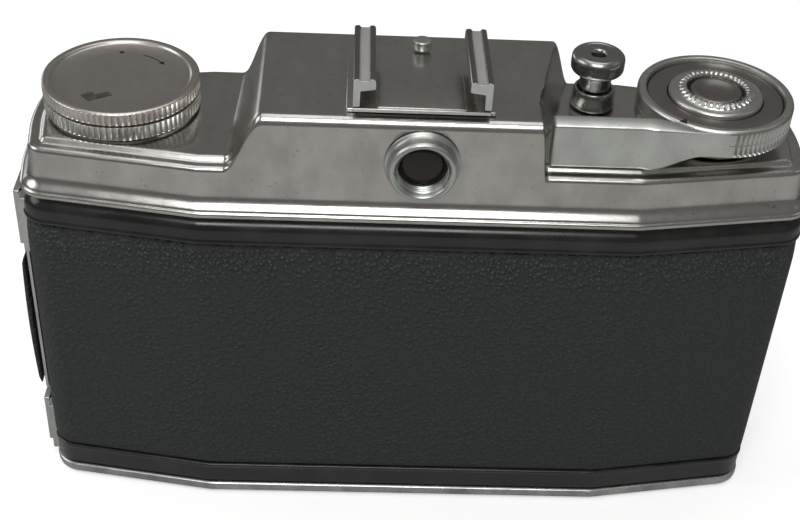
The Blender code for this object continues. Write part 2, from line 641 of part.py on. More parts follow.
# ---- wind lever ---------------------------------------------------------------------
def make_wind_lever():
    at = (*HUB_XY, 0.0)
    add_object("hub_boss", tube(3.1, 8.5, 70.2, 72.6, chamfer=0.4), "chrome", at=at)
    floor = 75.4
    shaft_hole = 2.4
    cup = [(shaft_hole, HUB_LOW), (HUB_RADIUS - 0.4, HUB_LOW), (HUB_RADIUS, HUB_LOW + 0.3),
           (HUB_RADIUS, HUB_HIGH - 0.5), (HUB_RADIUS - 0.4, HUB_HIGH), (11.2, HUB_HIGH),
           (10.9, HUB_HIGH - 0.4), (10.9, floor), (shaft_hole, floor)]
    lever = add_object("wind_lever", turned(cup, closed=True, sides=FINE), "steel", at=at)
    rear = HUB_RADIUS - 0.04
    chamfer = 0.4
    sections = [(27.0, rear - BLADE_THICK, rear, BLADE_LOW, BLADE_HIGH),
                (11.5, rear - BLADE_THICK, rear, BLADE_LOW, BLADE_HIGH),
                (5.8, rear - 2.2, rear, HUB_LOW - 0.1, HUB_HIGH - 0.2),
                (2.6, rear - 0.9, rear - 0.15, HUB_LOW + 0.2, HUB_HIGH - 0.6)]
    loops = [[(x, y0, z0), (x, y1, z0), (x, y1, z1 - chamfer), (x, y1 - chamfer, z1), (x, y0, z1)]
             for x, y0, y1, z0, z1 in sections]
    boolean(lever, loft(loops), "UNION", at=at)
    add_object("wind_shaft", rod(2.1, 50.4, 75.1, sides=SMALL), "steel", at=at)

    seat = floor + GAP
    add_object("counter_dial", tube(7.9, 10.5, seat, 77.0, sides=FINE), "dark_dial", at=at)
    ring = [(4.5, seat), (7.5, seat), (7.5, 77.3), (6.4, 78.0), (5.9, 78.5), (4.9, 78.4), (4.5, 77.8)]
    add_object("counter_ring", turned(ring, closed=True, sides=FINE), "chrome", at=at)
    cap = [(0.0, seat), (4.1, seat), (4.1, 77.8), (3.6, 78.1), (2.6, 77.7), (0.0, 77.5)]
    add_object("hub_cap", turned(cap), "dark_dial", at=at)


# ---- shutter release ----------------------------------------------------------------
COLLAR_FLOOR = 70.9
COLLAR_TOP = 73.3
PLUNGER_RADIUS = 1.3
HEAD_LOW = 76.1              # the spring pushes up on this face inside the button's skirt
HEAD_TOP = 79.7


def make_release():
    at = (*RELEASE_XY, 0.0)
    bore = PLUNGER_RADIUS + GAP
    collar = [(bore, 64.0), (2.4, 64.0), (2.4, 70.2), (3.7, 70.2), (3.7, 70.6), (3.35, 71.2),
              (3.3, 73.0), (3.15, COLLAR_TOP), (2.85, COLLAR_TOP), (2.85, COLLAR_FLOOR),
              (bore, COLLAR_FLOOR)]
    add_object("release_collar", turned(collar, closed=True), "chrome", at=at)
    skirt_low = COLLAR_TOP + 0.1
    button = [(0.0, 62.7), (PLUNGER_RADIUS, 62.7), (PLUNGER_RADIUS, HEAD_LOW), (2.05, HEAD_LOW),
              (2.05, skirt_low), (2.55, skirt_low), (2.55, 76.3), (3.7, 76.6), (4.35, 77.2),
              (4.35, 79.0), (3.7, HEAD_TOP), (1.5, HEAD_TOP), (1.2, 79.3), (1.2, 76.9), (0.0, 76.9)]
    add_object("release_button", turned(button), "chrome", at=at)

    coil_radius = 1.7
    wire = 0.14
    turns = 4
    steps_per_turn = 10
    wire_sides = 4
    low = COLLAR_FLOOR + wire + 0.05
    high = HEAD_LOW - wire - 0.05
    loops = []
    for i in range(turns * steps_per_turn + 1):
        angle = math.tau * i / steps_per_turn
        height = low + (high - low) * i / (turns * steps_per_turn)
        loop = []
        for k in range(wire_sides):
            around = math.tau * k / wire_sides
            reach = coil_radius + wire * math.cos(around)
            loop.append((reach * math.cos(angle), reach * math.sin(angle),
                         height + wire * math.sin(around)))
        loops.append(loop)
    add_object("release_spring", loft(loops), "steel", at=at)


def main():
    clear_scene()
    for name, settings in LOOKS.items():
        MATERIALS[name] = make_material(name, *settings)
    make_body()
    make_bottom_plate()
    make_top_cover()
    make_front()
    make_lens("left", 1)
    make_lens("right", -1)
    make_front_dial()
    make_film_path()
    make_door()
    make_hinge()
    make_latch()
    make_viewfinder()
    make_shoe()
    make_rewind()
    make_wind_lever()
    make_release()


main()
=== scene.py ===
"""Looks for the stereo camera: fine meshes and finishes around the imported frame.

Lengths are in millimetres until a piece is made. +X is the photographer's left, +Y the rear
door and +Z up, as in the frame.
"""
import math

import bmesh
import bpy
from mathutils import Matrix, Quaternion, Vector


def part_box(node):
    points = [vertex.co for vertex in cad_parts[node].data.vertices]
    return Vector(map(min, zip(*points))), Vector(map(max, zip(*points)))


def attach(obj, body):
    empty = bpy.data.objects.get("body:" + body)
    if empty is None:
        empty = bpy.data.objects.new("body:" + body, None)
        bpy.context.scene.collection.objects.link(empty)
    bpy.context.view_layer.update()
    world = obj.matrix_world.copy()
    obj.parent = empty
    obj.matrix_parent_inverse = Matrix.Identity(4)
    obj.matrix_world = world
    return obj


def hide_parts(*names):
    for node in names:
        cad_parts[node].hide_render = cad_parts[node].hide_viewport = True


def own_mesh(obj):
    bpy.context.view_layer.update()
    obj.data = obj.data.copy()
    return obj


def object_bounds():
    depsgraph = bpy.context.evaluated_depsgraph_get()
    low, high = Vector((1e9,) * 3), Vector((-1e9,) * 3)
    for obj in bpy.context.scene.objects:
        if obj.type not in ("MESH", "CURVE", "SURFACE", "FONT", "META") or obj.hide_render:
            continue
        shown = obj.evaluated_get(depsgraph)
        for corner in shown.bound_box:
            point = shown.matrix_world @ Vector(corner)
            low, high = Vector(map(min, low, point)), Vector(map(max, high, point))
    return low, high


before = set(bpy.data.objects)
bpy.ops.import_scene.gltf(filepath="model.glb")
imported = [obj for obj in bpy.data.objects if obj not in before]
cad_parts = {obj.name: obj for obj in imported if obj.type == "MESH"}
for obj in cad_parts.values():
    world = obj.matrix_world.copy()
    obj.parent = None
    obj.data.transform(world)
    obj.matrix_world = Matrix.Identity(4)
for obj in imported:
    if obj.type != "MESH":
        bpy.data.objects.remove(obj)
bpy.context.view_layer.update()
MM = 0.001


# ---- places read from the frame -----------------------------------------------------
def low(node):
    return [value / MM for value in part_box(node)[0]]


def high(node):
    return [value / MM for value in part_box(node)[1]]


def middle(node):
    return [(a + b) / 2 for a, b in zip(low(node), high(node))]


def low_and_high(node):
    return low(node), high(node)


def levels(node):
    """The heights of a node's underside and top."""
    return low(node)[2], high(node)[2]


END_X = high("top_cover")[0]
HALF_DEPTH = high("top_cover")[1]
COVER_LOW = low("top_cover")[2]
HUMP_TOP = high("top_cover")[2]
HUB = middle("counter_dial")
REWIND = middle("rewind_knob")
RELEASE = middle("release_button")
EYE = middle("eyepiece_lens")
LENS_Z = middle("aperture_dial")[2]
LENS_X = 24.0                # half the distance between the lenses
HINGE = middle("hinge_pin")


# ---- shader nodes -------------------------------------------------------------------
def node(tree, kind, settings=None, **inputs):
    made = tree.nodes.new(kind)
    for key, value in (settings or {}).items():
        setattr(made, key, value)
    for key, value in inputs.items():
        feed(tree, made.inputs[key.replace("_", " ")], value)
    return made


def feed(tree, socket, value):
    if isinstance(value, bpy.types.NodeSocket):
        tree.links.new(value, socket)
    else:
        socket.default_value = value


def maths(tree, operation, first, second=0.0):
    made = tree.nodes.new("ShaderNodeMath")
    made.operation = operation
    feed(tree, made.inputs[0], first)
    feed(tree, made.inputs[1], second)
    return made.outputs[0]


def spread(tree, value, from_low, from_high, to_low, to_high):
    made = node(tree, "ShaderNodeMapRange", Value=value, From_Min=from_low, From_Max=from_high,
                To_Min=to_low, To_Max=to_high)
    return made.outputs["Result"]


def place(tree, stretch=(1.0, 1.0, 1.0)):
    """The point on the piece, in metres from its own origin."""
    point = node(tree, "ShaderNodeTexCoord").outputs["Object"]
    return node(tree, "ShaderNodeMapping", Vector=point, Scale=stretch).outputs["Vector"]


def noise(tree, size_mm, detail=2.0, stretch=(1.0, 1.0, 1.0)):
    made = node(tree, "ShaderNodeTexNoise", Vector=place(tree, stretch), Scale=1 / (size_mm * MM),
                Detail=detail)
    return made.outputs["Fac"]


def turning_lines(tree, size_mm):
    """Fine rings round the piece's own Z axis, as a lathe leaves them."""
    point = node(tree, "ShaderNodeTexCoord").outputs["Object"]
    parts = node(tree, "ShaderNodeSeparateXYZ", Vector=point)
    squares = [maths(tree, "POWER", parts.outputs[axis], 2.0) for axis in "XY"]
    radius = maths(tree, "SQRT", maths(tree, "ADD", *squares))
    made = node(tree, "ShaderNodeTexNoise", {"noise_dimensions": "1D"}, W=radius,
                Scale=1 / (size_mm * MM), Detail=3.0)
    return made.outputs["Fac"]


def blend_colours(tree, share, first, second):
    made = tree.nodes.new("ShaderNodeMix")
    made.data_type = "RGBA"
    colours = [socket for socket in made.inputs if socket.type == "RGBA"]
    feed(tree, made.inputs[0], share)
    for socket, colour in zip(colours, (first, second)):
        feed(tree, socket, colour if isinstance(colour, bpy.types.NodeSocket) else (*colour, 1.0))
    return [socket for socket in made.outputs if socket.type == "RGBA"][0]


def bump(tree, shader, height, depth_mm, under=None):
    made = node(tree, "ShaderNodeBump", Height=height, Distance=depth_mm * MM, Strength=1.0)
    if under is not None:
        tree.links.new(under, made.inputs["Normal"])
    tree.links.new(made.outputs["Normal"], shader.inputs["Normal"])
    return made.outputs["Normal"]


def new_material(name, colour, roughness, metallic=0.0, **sockets):
    material = bpy.data.materials.new(name)
    material.use_nodes = True
    shader = material.node_tree.nodes["Principled BSDF"]
    shader.inputs["Base Color"].default_value = (*colour, 1.0)
    shader.inputs["Roughness"].default_value = roughness
    shader.inputs["Metallic"].default_value = metallic
    for key, value in sockets.items():
        shader.inputs[key.replace("_", " ")].default_value = value
    return material, material.node_tree, shader


# ---- finishes -----------------------------------------------------------------------
def metal(name, colour, roughness, unevenness=0.05, grain_mm=0.12, grain_depth=0.002, specks=0.5,
          lathe=0.0, brushed=None, tarnish=0.82):
    """Plated or bare metal: cloudy polish, fine grain, small pits and, if asked, tool lines."""
    material, tree, shader = new_material(name, colour, roughness, 1.0)
    clouds = noise(tree, 7.0, 5.0, (1.6, 0.7, 1.0))
    smudges = noise(tree, 1.6, 4.0)
    shares = [maths(tree, "MULTIPLY", clouds, 0.65), maths(tree, "MULTIPLY", smudges, 0.35)]
    polish = maths(tree, "ADD", *shares)
    feed(tree, shader.inputs["Roughness"],
         spread(tree, polish, 0.3, 0.7, roughness - unevenness, roughness + unevenness))
    dull = tuple(value * tarnish for value in colour)
    cloudy = blend_colours(tree, spread(tree, clouds, 0.35, 0.7, 0.0, 1.0), colour, dull)
    pits = spread(tree, noise(tree, 0.55, 1.0), 0.70, 0.76, 0.0, specks)
    dark = tuple(value * 0.35 for value in colour)
    feed(tree, shader.inputs["Base Color"], blend_colours(tree, pits, cloudy, dark))
    height = noise(tree, grain_mm, 2.0)
    if brushed:
        height = noise(tree, grain_mm, 2.0, brushed)
    normal = bump(tree, shader, height, grain_depth)
    if lathe:
        bump(tree, shader, turning_lines(tree, 0.14), lathe, normal)
    return material


def leather(name, relief_and_glint_band=(47.0, 53.0)):
    """Black pebbled covering, its grain crisper in a band of heights and smoother below; in that band the
    pebble tops are also painted lighter, a painted glint.
    """
    material, tree, shader = new_material(name, (0.032, 0.033, 0.033), 0.5, Specular_IOR_Level=0.5)
    wander = node(tree, "ShaderNodeTexNoise", Vector=place(tree), Scale=1 / (1.3 * MM), Detail=1.0)
    offset = node(tree, "ShaderNodeVectorMath", {"operation": "SCALE"}, Scale=0.5 * MM)
    tree.links.new(wander.outputs["Color"], offset.inputs[0])
    moved = node(tree, "ShaderNodeVectorMath", {"operation": "ADD"})
    tree.links.new(place(tree), moved.inputs[0])
    tree.links.new(offset.outputs[0], moved.inputs[1])
    cells = node(tree, "ShaderNodeTexVoronoi", {"feature": "SMOOTH_F1"}, Vector=moved.outputs[0],
                 Scale=1 / (0.8 * MM), Smoothness=0.3, Randomness=1.0)
    pebble = spread(tree, cells.outputs["Distance"], 0.1, 0.62, 1.0, 0.0)
    point = node(tree, "ShaderNodeTexCoord").outputs["Object"]
    level = node(tree, "ShaderNodeSeparateXYZ", Vector=point).outputs["Z"]
    relief_and_glint_share = spread(tree, level, relief_and_glint_band[0] * MM, relief_and_glint_band[1] * MM, 0.5, 1.0)
    patches = spread(tree, noise(tree, 7.0, 3.0), 0.35, 0.65, 0.6, 1.0)
    strength = maths(tree, "MULTIPLY", relief_and_glint_share, patches)
    relief = maths(tree, "MULTIPLY", pebble, strength)
    wrinkle = maths(tree, "MULTIPLY", noise(tree, 0.35, 3.0), 0.3)
    feed(tree, shader.inputs["Roughness"], spread(tree, relief, 0.0, 1.0, 0.6, 0.33))
    # Lighter pebble tops: partly the grain's own colour, and where the band mask is strongest a painted
    # glint.
    feed(tree, shader.inputs["Base Color"],
         blend_colours(tree, relief, (0.031, 0.037, 0.0355), (0.056, 0.066, 0.064)))
    bump(tree, shader, maths(tree, "ADD", relief, wrinkle), 0.65)
    return material


def black_finish(name, level, roughness, grain_mm, grain_depth, coat=0.0):
    """Black paint, moulding or casting skin, a little greyer where it is worn."""
    material, tree, shader = new_material(name, (level, level, level), roughness, 0.0, Coat_Weight=coat,
                                          Coat_Roughness=0.15)
    clouds = noise(tree, 6.0, 4.0)
    feed(tree, shader.inputs["Roughness"],
         spread(tree, clouds, 0.3, 0.7, roughness - 0.06, roughness + 0.08))
    worn = tuple([level * 1.8 + 0.004] * 3)
    feed(tree, shader.inputs["Base Color"],
         blend_colours(tree, spread(tree, clouds, 0.4, 0.75, 0.0, 1.0), (level, level, level), worn))
    bump(tree, shader, noise(tree, grain_mm, 3.0), grain_depth)
    return material


def coated_glass(name, colour, edge_colour, coat=1.0):
    """Dark lens glass with a film of dust, tinted towards its edge."""
    material, tree, shader = new_material(name, colour, 0.04, 0.0, IOR=1.5, Coat_Weight=coat,
                                          Coat_Roughness=0.02)
    facing = node(tree, "ShaderNodeLayerWeight", Blend=0.35).outputs["Facing"]
    feed(tree, shader.inputs["Base Color"], blend_colours(tree, facing, colour, edge_colour))
    dust = spread(tree, noise(tree, 1.4, 4.0), 0.45, 0.8, 0.02, 0.12)
    feed(tree, shader.inputs["Roughness"], dust)
    return material


PLATE = metal("plated_cover", (0.615, 0.60, 0.57), 0.23, 0.06, 0.16, 0.0018, specks=0.6, tarnish=0.8)
BRIGHT = metal("polished_plate", (0.66, 0.65, 0.62), 0.26, 0.05, 0.2, 0.001, specks=0.3)
SATIN = metal("satin_plate", (0.62, 0.64, 0.61), 0.36, 0.06, 0.10, 0.004, specks=0.6)
BASE = metal("base_plate", (0.66, 0.68, 0.67), 0.30, 0.08, 0.14, 0.004, specks=0.85, tarnish=0.6)
SPUN = metal("spun_steel", (0.70, 0.66, 0.62), 0.30, 0.05, 0.2, 0.001, specks=0.35, lathe=0.006)
STEEL = metal("turned_steel", (0.68, 0.68, 0.65), 0.29, 0.05, 0.14, 0.002, specks=0.4)
BLADE = metal("lever_steel", (0.74, 0.76, 0.72), 0.36, 0.04, 0.10, 0.003, specks=0.3,
              brushed=(0.15, 1.0, 1.0))
SAWN = metal("sawn_ends", (0.86, 0.87, 0.84), 0.55, 0.05, 0.08, 0.006, specks=0.4)
# A darker copy of the plate for the shoe rails' tops: painted shade.
SHADED_RAIL_TOP = metal("rail_top_painted_shade", (0.33, 0.31, 0.29), 0.28, 0.06, 0.12, 0.002, specks=0.5)
# A lighter, rougher copy of the plate for the rails' groove floor: painted highlight.
GROOVE_HIGHLIGHT = metal("groove_painted_highlight", (0.80, 0.80, 0.78), 0.5, 0.05, 0.12, 0.003, specks=0.3)
DARK_DIAL = metal("dark_dial", (0.27, 0.25, 0.235), 0.42, 0.06, 0.12, 0.002, specks=0.2, lathe=0.004)
DARK_CHROME = metal("darkened_chrome", (0.44, 0.45, 0.44), 0.25, 0.05, 0.16, 0.002, specks=0.3)
CASTING = black_finish("black_casting", 0.020, 0.55, 0.25, 0.02)
ENAMEL = black_finish("black_enamel", 0.012, 0.24, 0.5, 0.002, coat=0.25)
PLASTIC = black_finish("black_plastic", 0.022, 0.38, 0.3, 0.004)
LEATHER = leather("pebbled_leather")
LENS_GLASS = coated_glass("coated_lens", (0.010, 0.012, 0.030), (0.06, 0.02, 0.10))
EYE_GLASS = coated_glass("eyepiece_glass", (0.014, 0.010, 0.008), (0.03, 0.026, 0.024), 0.0)
INK = black_finish("black_ink", 0.012, 0.45, 0.2, 0.001)


# ---- making pieces ------------------------------------------------------------------
SHARP_OVER = math.radians(40.0)     # edges that bend more than this stay sharp
INLAY = 0.03                        # how far an inlaid mark stands out, and how deep it goes


def finish_piece(name, shape, material, body, stands_for=(), at=(0.0, 0.0, 0.0)):
    """Turn a shape in mm around a point into an object that rides on a body."""
    bmesh.ops.remove_doubles(shape, verts=shape.verts, dist=1e-5)
    bmesh.ops.recalc_face_normals(shape, faces=shape.faces)
    bmesh.ops.scale(shape, vec=(MM, MM, MM), verts=shape.verts)
    mesh = bpy.data.meshes.new(name)
    shape.to_mesh(mesh)
    shape.free()
    mesh.materials.append(material)
    mesh.shade_smooth()
    mesh.set_sharp_from_angle(angle=SHARP_OVER)
    piece = bpy.data.objects.new(name, mesh)
    piece.location = [value * MM for value in at]
    bpy.context.scene.collection.objects.link(piece)
    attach(piece, body)
    if stands_for:
        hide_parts(*stands_for)
    return piece


def softened(profile, radius, closed=False, steps=4):
    """Round the corners of a line of points, as far as the stretches beside them allow."""
    result = []
    count = len(profile)
    for i, point in enumerate(profile):
        if not closed and i in (0, count - 1):
            result.append(tuple(point))
            continue
        corner = Vector(point)
        before = Vector(profile[i - 1]) - corner
        after = Vector(profile[(i + 1) % count]) - corner
        reach = min(radius, before.length * 0.45, after.length * 0.45)
        start = corner + before.normalized() * reach
        end = corner + after.normalized() * reach
        for k in range(steps + 1):
            t = k / steps
            result.append(tuple(start * (1 - t) ** 2 + corner * 2 * t * (1 - t) + end * t * t))
    return result


def turned(profile, sides=96, closed=False, along="Z", into=None, at=(0.0, 0.0, 0.0)):
    """Spin (radius, height) points about an axis; an open profile starts and ends on it."""
    shape = into or bmesh.new()
    rings = []
    for radius, height in profile:
        ring = []
        for i in range(1 if radius < 1e-6 else sides):
            angle = math.tau * i / sides
            a, b = radius * math.cos(angle), radius * math.sin(angle)
            spot = (a, b, height) if along == "Z" else (a, height, b)
            ring.append(shape.verts.new([spot[k] + at[k] for k in range(3)]))
        rings.append(ring)
    return join_all(shape, rings, closed)


def rod(radius, start, end, sides, **placing):
    """A plain cylinder between two heights."""
    return turned([(0.0, start), (radius, start), (radius, end), (0.0, end)], sides, **placing)


def join_rings(shape, one, other):
    count = max(len(one), len(other))
    for i in range(count):
        j = (i + 1) % count
        corners = [one[i % len(one)], one[j % len(one)], other[j % len(other)], other[i % len(other)]]
        unique = list(dict.fromkeys(corners))
        if len(unique) > 2:
            shape.faces.new(unique)


def join_all(shape, rings, closed=False):
    pairs = list(zip(rings, rings[1:]))
    if closed:
        pairs.append((rings[-1], rings[0]))
    for one, other in pairs:
        join_rings(shape, one, other)
    return shape


GROOVE_SHARPNESS = 2.2
POINTS_PER_TOOTH = 6


def toothed(profile, teeth, window=None, closed=False, along="Z"):
    """Spin (radius, height, groove depth) points; the depth is cut between the teeth."""
    shape = bmesh.new()
    sides = teeth * POINTS_PER_TOOTH
    rings = []
    for radius, height, depth in profile:
        ring = []
        for i in range(1 if radius < 1e-6 else sides):
            angle = math.tau * i / sides
            share = 0.5 - 0.5 * math.cos(math.tau * i / POINTS_PER_TOOTH)
            cut = depth * share ** GROOVE_SHARPNESS * (window(angle) if window else 1.0)
            a, b = (radius - cut) * math.cos(angle), (radius - cut) * math.sin(angle)
            ring.append(shape.verts.new((a, b, height) if along == "Z" else (a, height, b)))
        rings.append(ring)
    return join_all(shape, rings, closed)


def loft(loops, into=None):
    """Join loops of points one after another, and close both ends."""
    shape = into or bmesh.new()
    rings = [[shape.verts.new(point) for point in loop] for loop in loops]
    join_all(shape, rings)
    shape.faces.new(rings[0])
    shape.faces.new(rings[-1])
    return shape


def prism(outline, bottom, top, into=None):
    """A flat outline pulled straight up."""
    return loft([[(a, b, z) for a, b in outline] for z in (bottom, top)], into)


def block(corner, opposite, edge, segments=3, into=None):
    """A box with rounded edges."""
    shape = into or bmesh.new()
    made = bmesh.ops.create_cube(shape, size=1.0)["verts"]
    size = [opposite[i] - corner[i] for i in range(3)]
    centre = [(opposite[i] + corner[i]) / 2 for i in range(3)]
    bmesh.ops.scale(shape, vec=size, verts=made)
    bmesh.ops.translate(shape, vec=centre, verts=made)
    edges = list({e for vert in made for e in vert.link_edges})
    bmesh.ops.bevel(shape, geom=edges, offset=edge, segments=segments, profile=0.5, affect="EDGES",
                    clamp_overlap=True)
    return shape


def bar(outline, start, end, along, edge, steps=3):
    """Pull a flat outline along an axis and round the rims of its two ends."""
    order = {"X": lambda a, b, c: (c, a, b), "Y": lambda a, b, c: (a, c, b),
             "Z": lambda a, b, c: (a, b, c)}[along]
    centre = Vector((sum(p[0] for p in outline), sum(p[1] for p in outline))) / len(outline)
    span = max((Vector(p) - centre).length for p in outline)
    turns = [math.pi / 2 * k / steps for k in range(steps + 1)]
    levels = [(start + edge * (1 - math.cos(a)), edge * (1 - math.sin(a))) for a in turns]
    levels += [(start + end - level, inset) for level, inset in reversed(levels)]
    loops = []
    for level, inset in levels:
        shrink = 1 - inset / span
        loops.append([order(*(centre + (Vector(p) - centre) * shrink), level) for p in outline])
    return loft(loops)


def give_ends(piece, material):
    """Another finish on the faces that look straight to the rear or the front."""
    piece.data.materials.append(material)
    for face in piece.data.polygons:
        if abs(face.normal.y) > 0.9:
            face.material_index = len(piece.data.materials) - 1


def give_level(piece, material, bottom, top):
    """Another finish on the upward faces between two heights."""
    piece.data.materials.append(material)
    for face in piece.data.polygons:
        if face.normal.z > 0.7 and bottom <= face.center.z / MM <= top:
            face.material_index = len(piece.data.materials) - 1


# ---- the body's plan, as the frame has it -------------------------------------------
END_ROUNDING = (36.0, 10)
CORNER_ROUNDING = (5.0, 12)
FLAT_ROUNDING = (6.0, 4)
CORNER = (END_X - 1.3, HALF_DEPTH - 4.6)
END_POINT = END_X + 0.4
FLAT_HALF = 34.8
PLAN = [(END_POINT, 0.0, *END_ROUNDING), (CORNER[0], CORNER[1], *CORNER_ROUNDING),
        (FLAT_HALF, HALF_DEPTH, *FLAT_ROUNDING), (-FLAT_HALF, HALF_DEPTH, *FLAT_ROUNDING),
        (-CORNER[0], CORNER[1], *CORNER_ROUNDING), (-END_POINT, 0.0, *END_ROUNDING),
        (-CORNER[0], -CORNER[1], *CORNER_ROUNDING), (-FLAT_HALF, -HALF_DEPTH, *FLAT_ROUNDING),
        (FLAT_HALF, -HALF_DEPTH, *FLAT_ROUNDING), (CORNER[0], -CORNER[1], *CORNER_ROUNDING)]
REAR_FLAT = 2
FRONT_FLAT = 7


def unit(x, y):
    length = math.hypot(x, y)
    return x / length, y / length


def plan(inset=0.0, stations=()):
    """The plan outline moved inwards, with extra points on the flat front and rear."""
    corners = []
    count = len(PLAN)
    for i, (x, y, radius, segments) in enumerate(PLAN):
        before = PLAN[i - 1]
        after = PLAN[(i + 1) % count]
        into = unit(x - before[0], y - before[1])
        out = unit(after[0] - x, after[1] - y)
        turn = math.atan2(into[0] * out[1] - into[1] * out[0], into[0] * out[0] + into[1] * out[1])
        pull = inset / math.cos(turn / 2)
        inward = unit(-into[1] - out[1], into[0] + out[0])
        bend = max(radius - inset, 0.6)
        reach = bend * math.tan(turn / 2)
        start = (x + inward[0] * pull - into[0] * reach, y + inward[1] * pull - into[1] * reach)
        centre = (start[0] - into[1] * bend, start[1] + into[0] * bend)
        first = math.atan2(start[1] - centre[1], start[0] - centre[0])
        corners.append([(centre[0] + bend * math.cos(first + turn * k / segments),
                         centre[1] + bend * math.sin(first + turn * k / segments))
                        for k in range(segments + 1)])
    half = len(corners[0]) // 2
    ring = corners[0][half:]
    for i in range(1, count):
        ring += corners[i]
        if i == REAR_FLAT:
            ring += [(x, HALF_DEPTH - inset) for x in sorted(stations, reverse=True)]
        if i == FRONT_FLAT:
            ring += [(x, inset - HALF_DEPTH) for x in sorted(stations)]
    return ring + corners[0][:half]


def plan_side(inset, beyond, rear):
    """The plan outline behind (or in front of) a line of constant Y, from +X round to -X."""
    line = beyond if rear else -beyond
    ring = plan(inset)
    side = []
    entry = 0
    for (x0, y0), (x1, y1) in zip(ring, ring[1:] + ring[:1]):
        if y0 > line:
            side.append((x0, y0))
        if (y0 > line) != (y1 > line):
            if y1 > line:
                entry = len(side)
            side.append((x0 + (x1 - x0) * (line - y0) / (y1 - y0), line))
    side = side[entry:] + side[:entry]
    return side if rear else [(x, -y) for x, y in side]


# ---- top cover ----------------------------------------------------------------------
LEFT_SLOPE = ((24.4, 30.6), (24.9, 29.7))
RIGHT_SLOPE = ((-17.9, -19.3), (-22.2, -26.0))
SLOPE_FRONT = -13.0
SLOPE_REAR = 8.0
WING_TOP = 69.9
SHEET = 1.1
REAR_FILLET = 1.7
FRONT_FILLET = 4.4
FLANGE = [(0.5, 0.0), (0.18, 0.1), (0.02, 0.35), (0.0, 0.6), (0.04, 0.82), (0.16, 0.98), (0.34, 1.05),
          (0.43, 1.12), (0.47, 1.26), (0.62, 1.44), (0.86, 1.68), (1.1, 1.9), (1.32, 2.12), (1.52, 2.36),
          (1.7, 2.66), (1.84, 3.05), (1.94, 3.6), (2.0, 4.6)]
WING_RIM = [(2.0, 1.9), (2.0, 1.6), (2.07, 1.28), (2.26, 1.02), (2.55, 0.85), (2.9, 0.78), (3.5, 0.76),
            (3.85, 0.7), (4.08, 0.52), (4.24, 0.3), (4.45, 0.12), (4.75, 0.03), (5.1, 0.0)]
INNER_WALL = [(1.6, 0.0), (1.6, 1.2), (3.1, 2.6)]
INNER_RIM = [(4.2, 1.3), (5.4, 0.0)]


def stretch_of(first, last, step):
    count = max(int(round(abs(last - first) / step)), 1)
    return [first + (last - first) * i / count for i in range(count + 1)]


STATIONS = (stretch_of(31.4, 23.6, 0.4) + stretch_of(20.0, -14.0, 4.0)
            + stretch_of(-17.2, -26.6, 0.32) + [-29.0, -32.0])


def slope(x, y, ends, shift):
    """0 outside the hump, 1 on it, along one of its two S-shaped sides."""
    towards_rear = min(max((y - SLOPE_FRONT) / (SLOPE_REAR - SLOPE_FRONT), 0.0), 1.0)
    (rear_top, rear_foot), (front_top, front_foot) = ends
    top = front_top + (rear_top - front_top) * towards_rear + shift
    foot = front_foot + (rear_foot - front_foot) * towards_rear + shift
    part = min(max((x - foot) / (top - foot), 0.0), 1.0)
    return 0.5 - 0.5 * math.cos(math.pi * part)


def hump_share(x, y, shrink):
    return slope(x, y, LEFT_SLOPE, -shrink) * slope(x, y, RIGHT_SLOPE, shrink)


def deck_height(x, y, shrink):
    return WING_TOP - shrink + (HUMP_TOP - WING_TOP) * hump_share(x, y, shrink)


def cover_rings(rim, shrink):
    loops = []
    for i, (inset, drop) in enumerate(rim):
        angle = math.pi / 2 * i / (len(rim) - 1)
        loop = []
        for x, y in plan(inset, STATIONS):
            share = hump_share(x, y, shrink)
            fillet = REAR_FILLET if y > 0 else FRONT_FILLET
            hump_inset = rim[0][0] + fillet * (1 - math.cos(angle))
            hump_drop = fillet * (1 - math.sin(angle))
            moved = y - math.copysign(1.0, y) * share * (hump_inset - inset)
            loop.append((x, moved, deck_height(x, y, shrink) - drop - share * (hump_drop - drop)))
        loops.append(loop)
    return loops


def add_deck(shape, ring, rows, shrink):
    """Fill the loop at the deck's edge with strips that run from the rear to the front."""
    count = len(ring)
    half = count // 2
    columns = []
    for i in range(1, half):
        rear, front = ring[i], ring[count - i]
        column = [rear]
        for row in range(1, rows):
            x, y, _ = rear.co.lerp(front.co, row / rows)
            column.append(shape.verts.new((x, y, deck_height(x, y, shrink))))
        columns.append(column + [front])
    for one, other in zip(columns, columns[1:]):
        for row in range(rows):
            shape.faces.new((one[row], other[row], other[row + 1], one[row + 1]))
    for end, column in ((ring[0], columns[0]), (ring[half], columns[-1])):
        for row in range(rows):
            shape.faces.new((end, column[row], column[row + 1]))


def cut(piece, tool_shape):
    """Take a shape out of a piece for good."""
    bmesh.ops.recalc_face_normals(tool_shape, faces=tool_shape.faces)
    bmesh.ops.scale(tool_shape, vec=(MM, MM, MM), verts=tool_shape.verts)
    mesh = bpy.data.meshes.new("cutter")
    tool_shape.to_mesh(mesh)
    tool_shape.free()
    tool = bpy.data.objects.new("cutter", mesh)
    bpy.context.scene.collection.objects.link(tool)
    step = piece.modifiers.new("cut", "BOOLEAN")
    step.operation = "DIFFERENCE"
    step.solver = "EXACT"
    step.object = tool
    evaluated = piece.evaluated_get(bpy.context.evaluated_depsgraph_get())
    piece.data = bpy.data.meshes.new_from_object(evaluated)
    piece.data.shade_smooth()
    piece.data.set_sharp_from_angle(angle=SHARP_OVER)
    piece.modifiers.clear()
    bpy.data.objects.remove(tool)


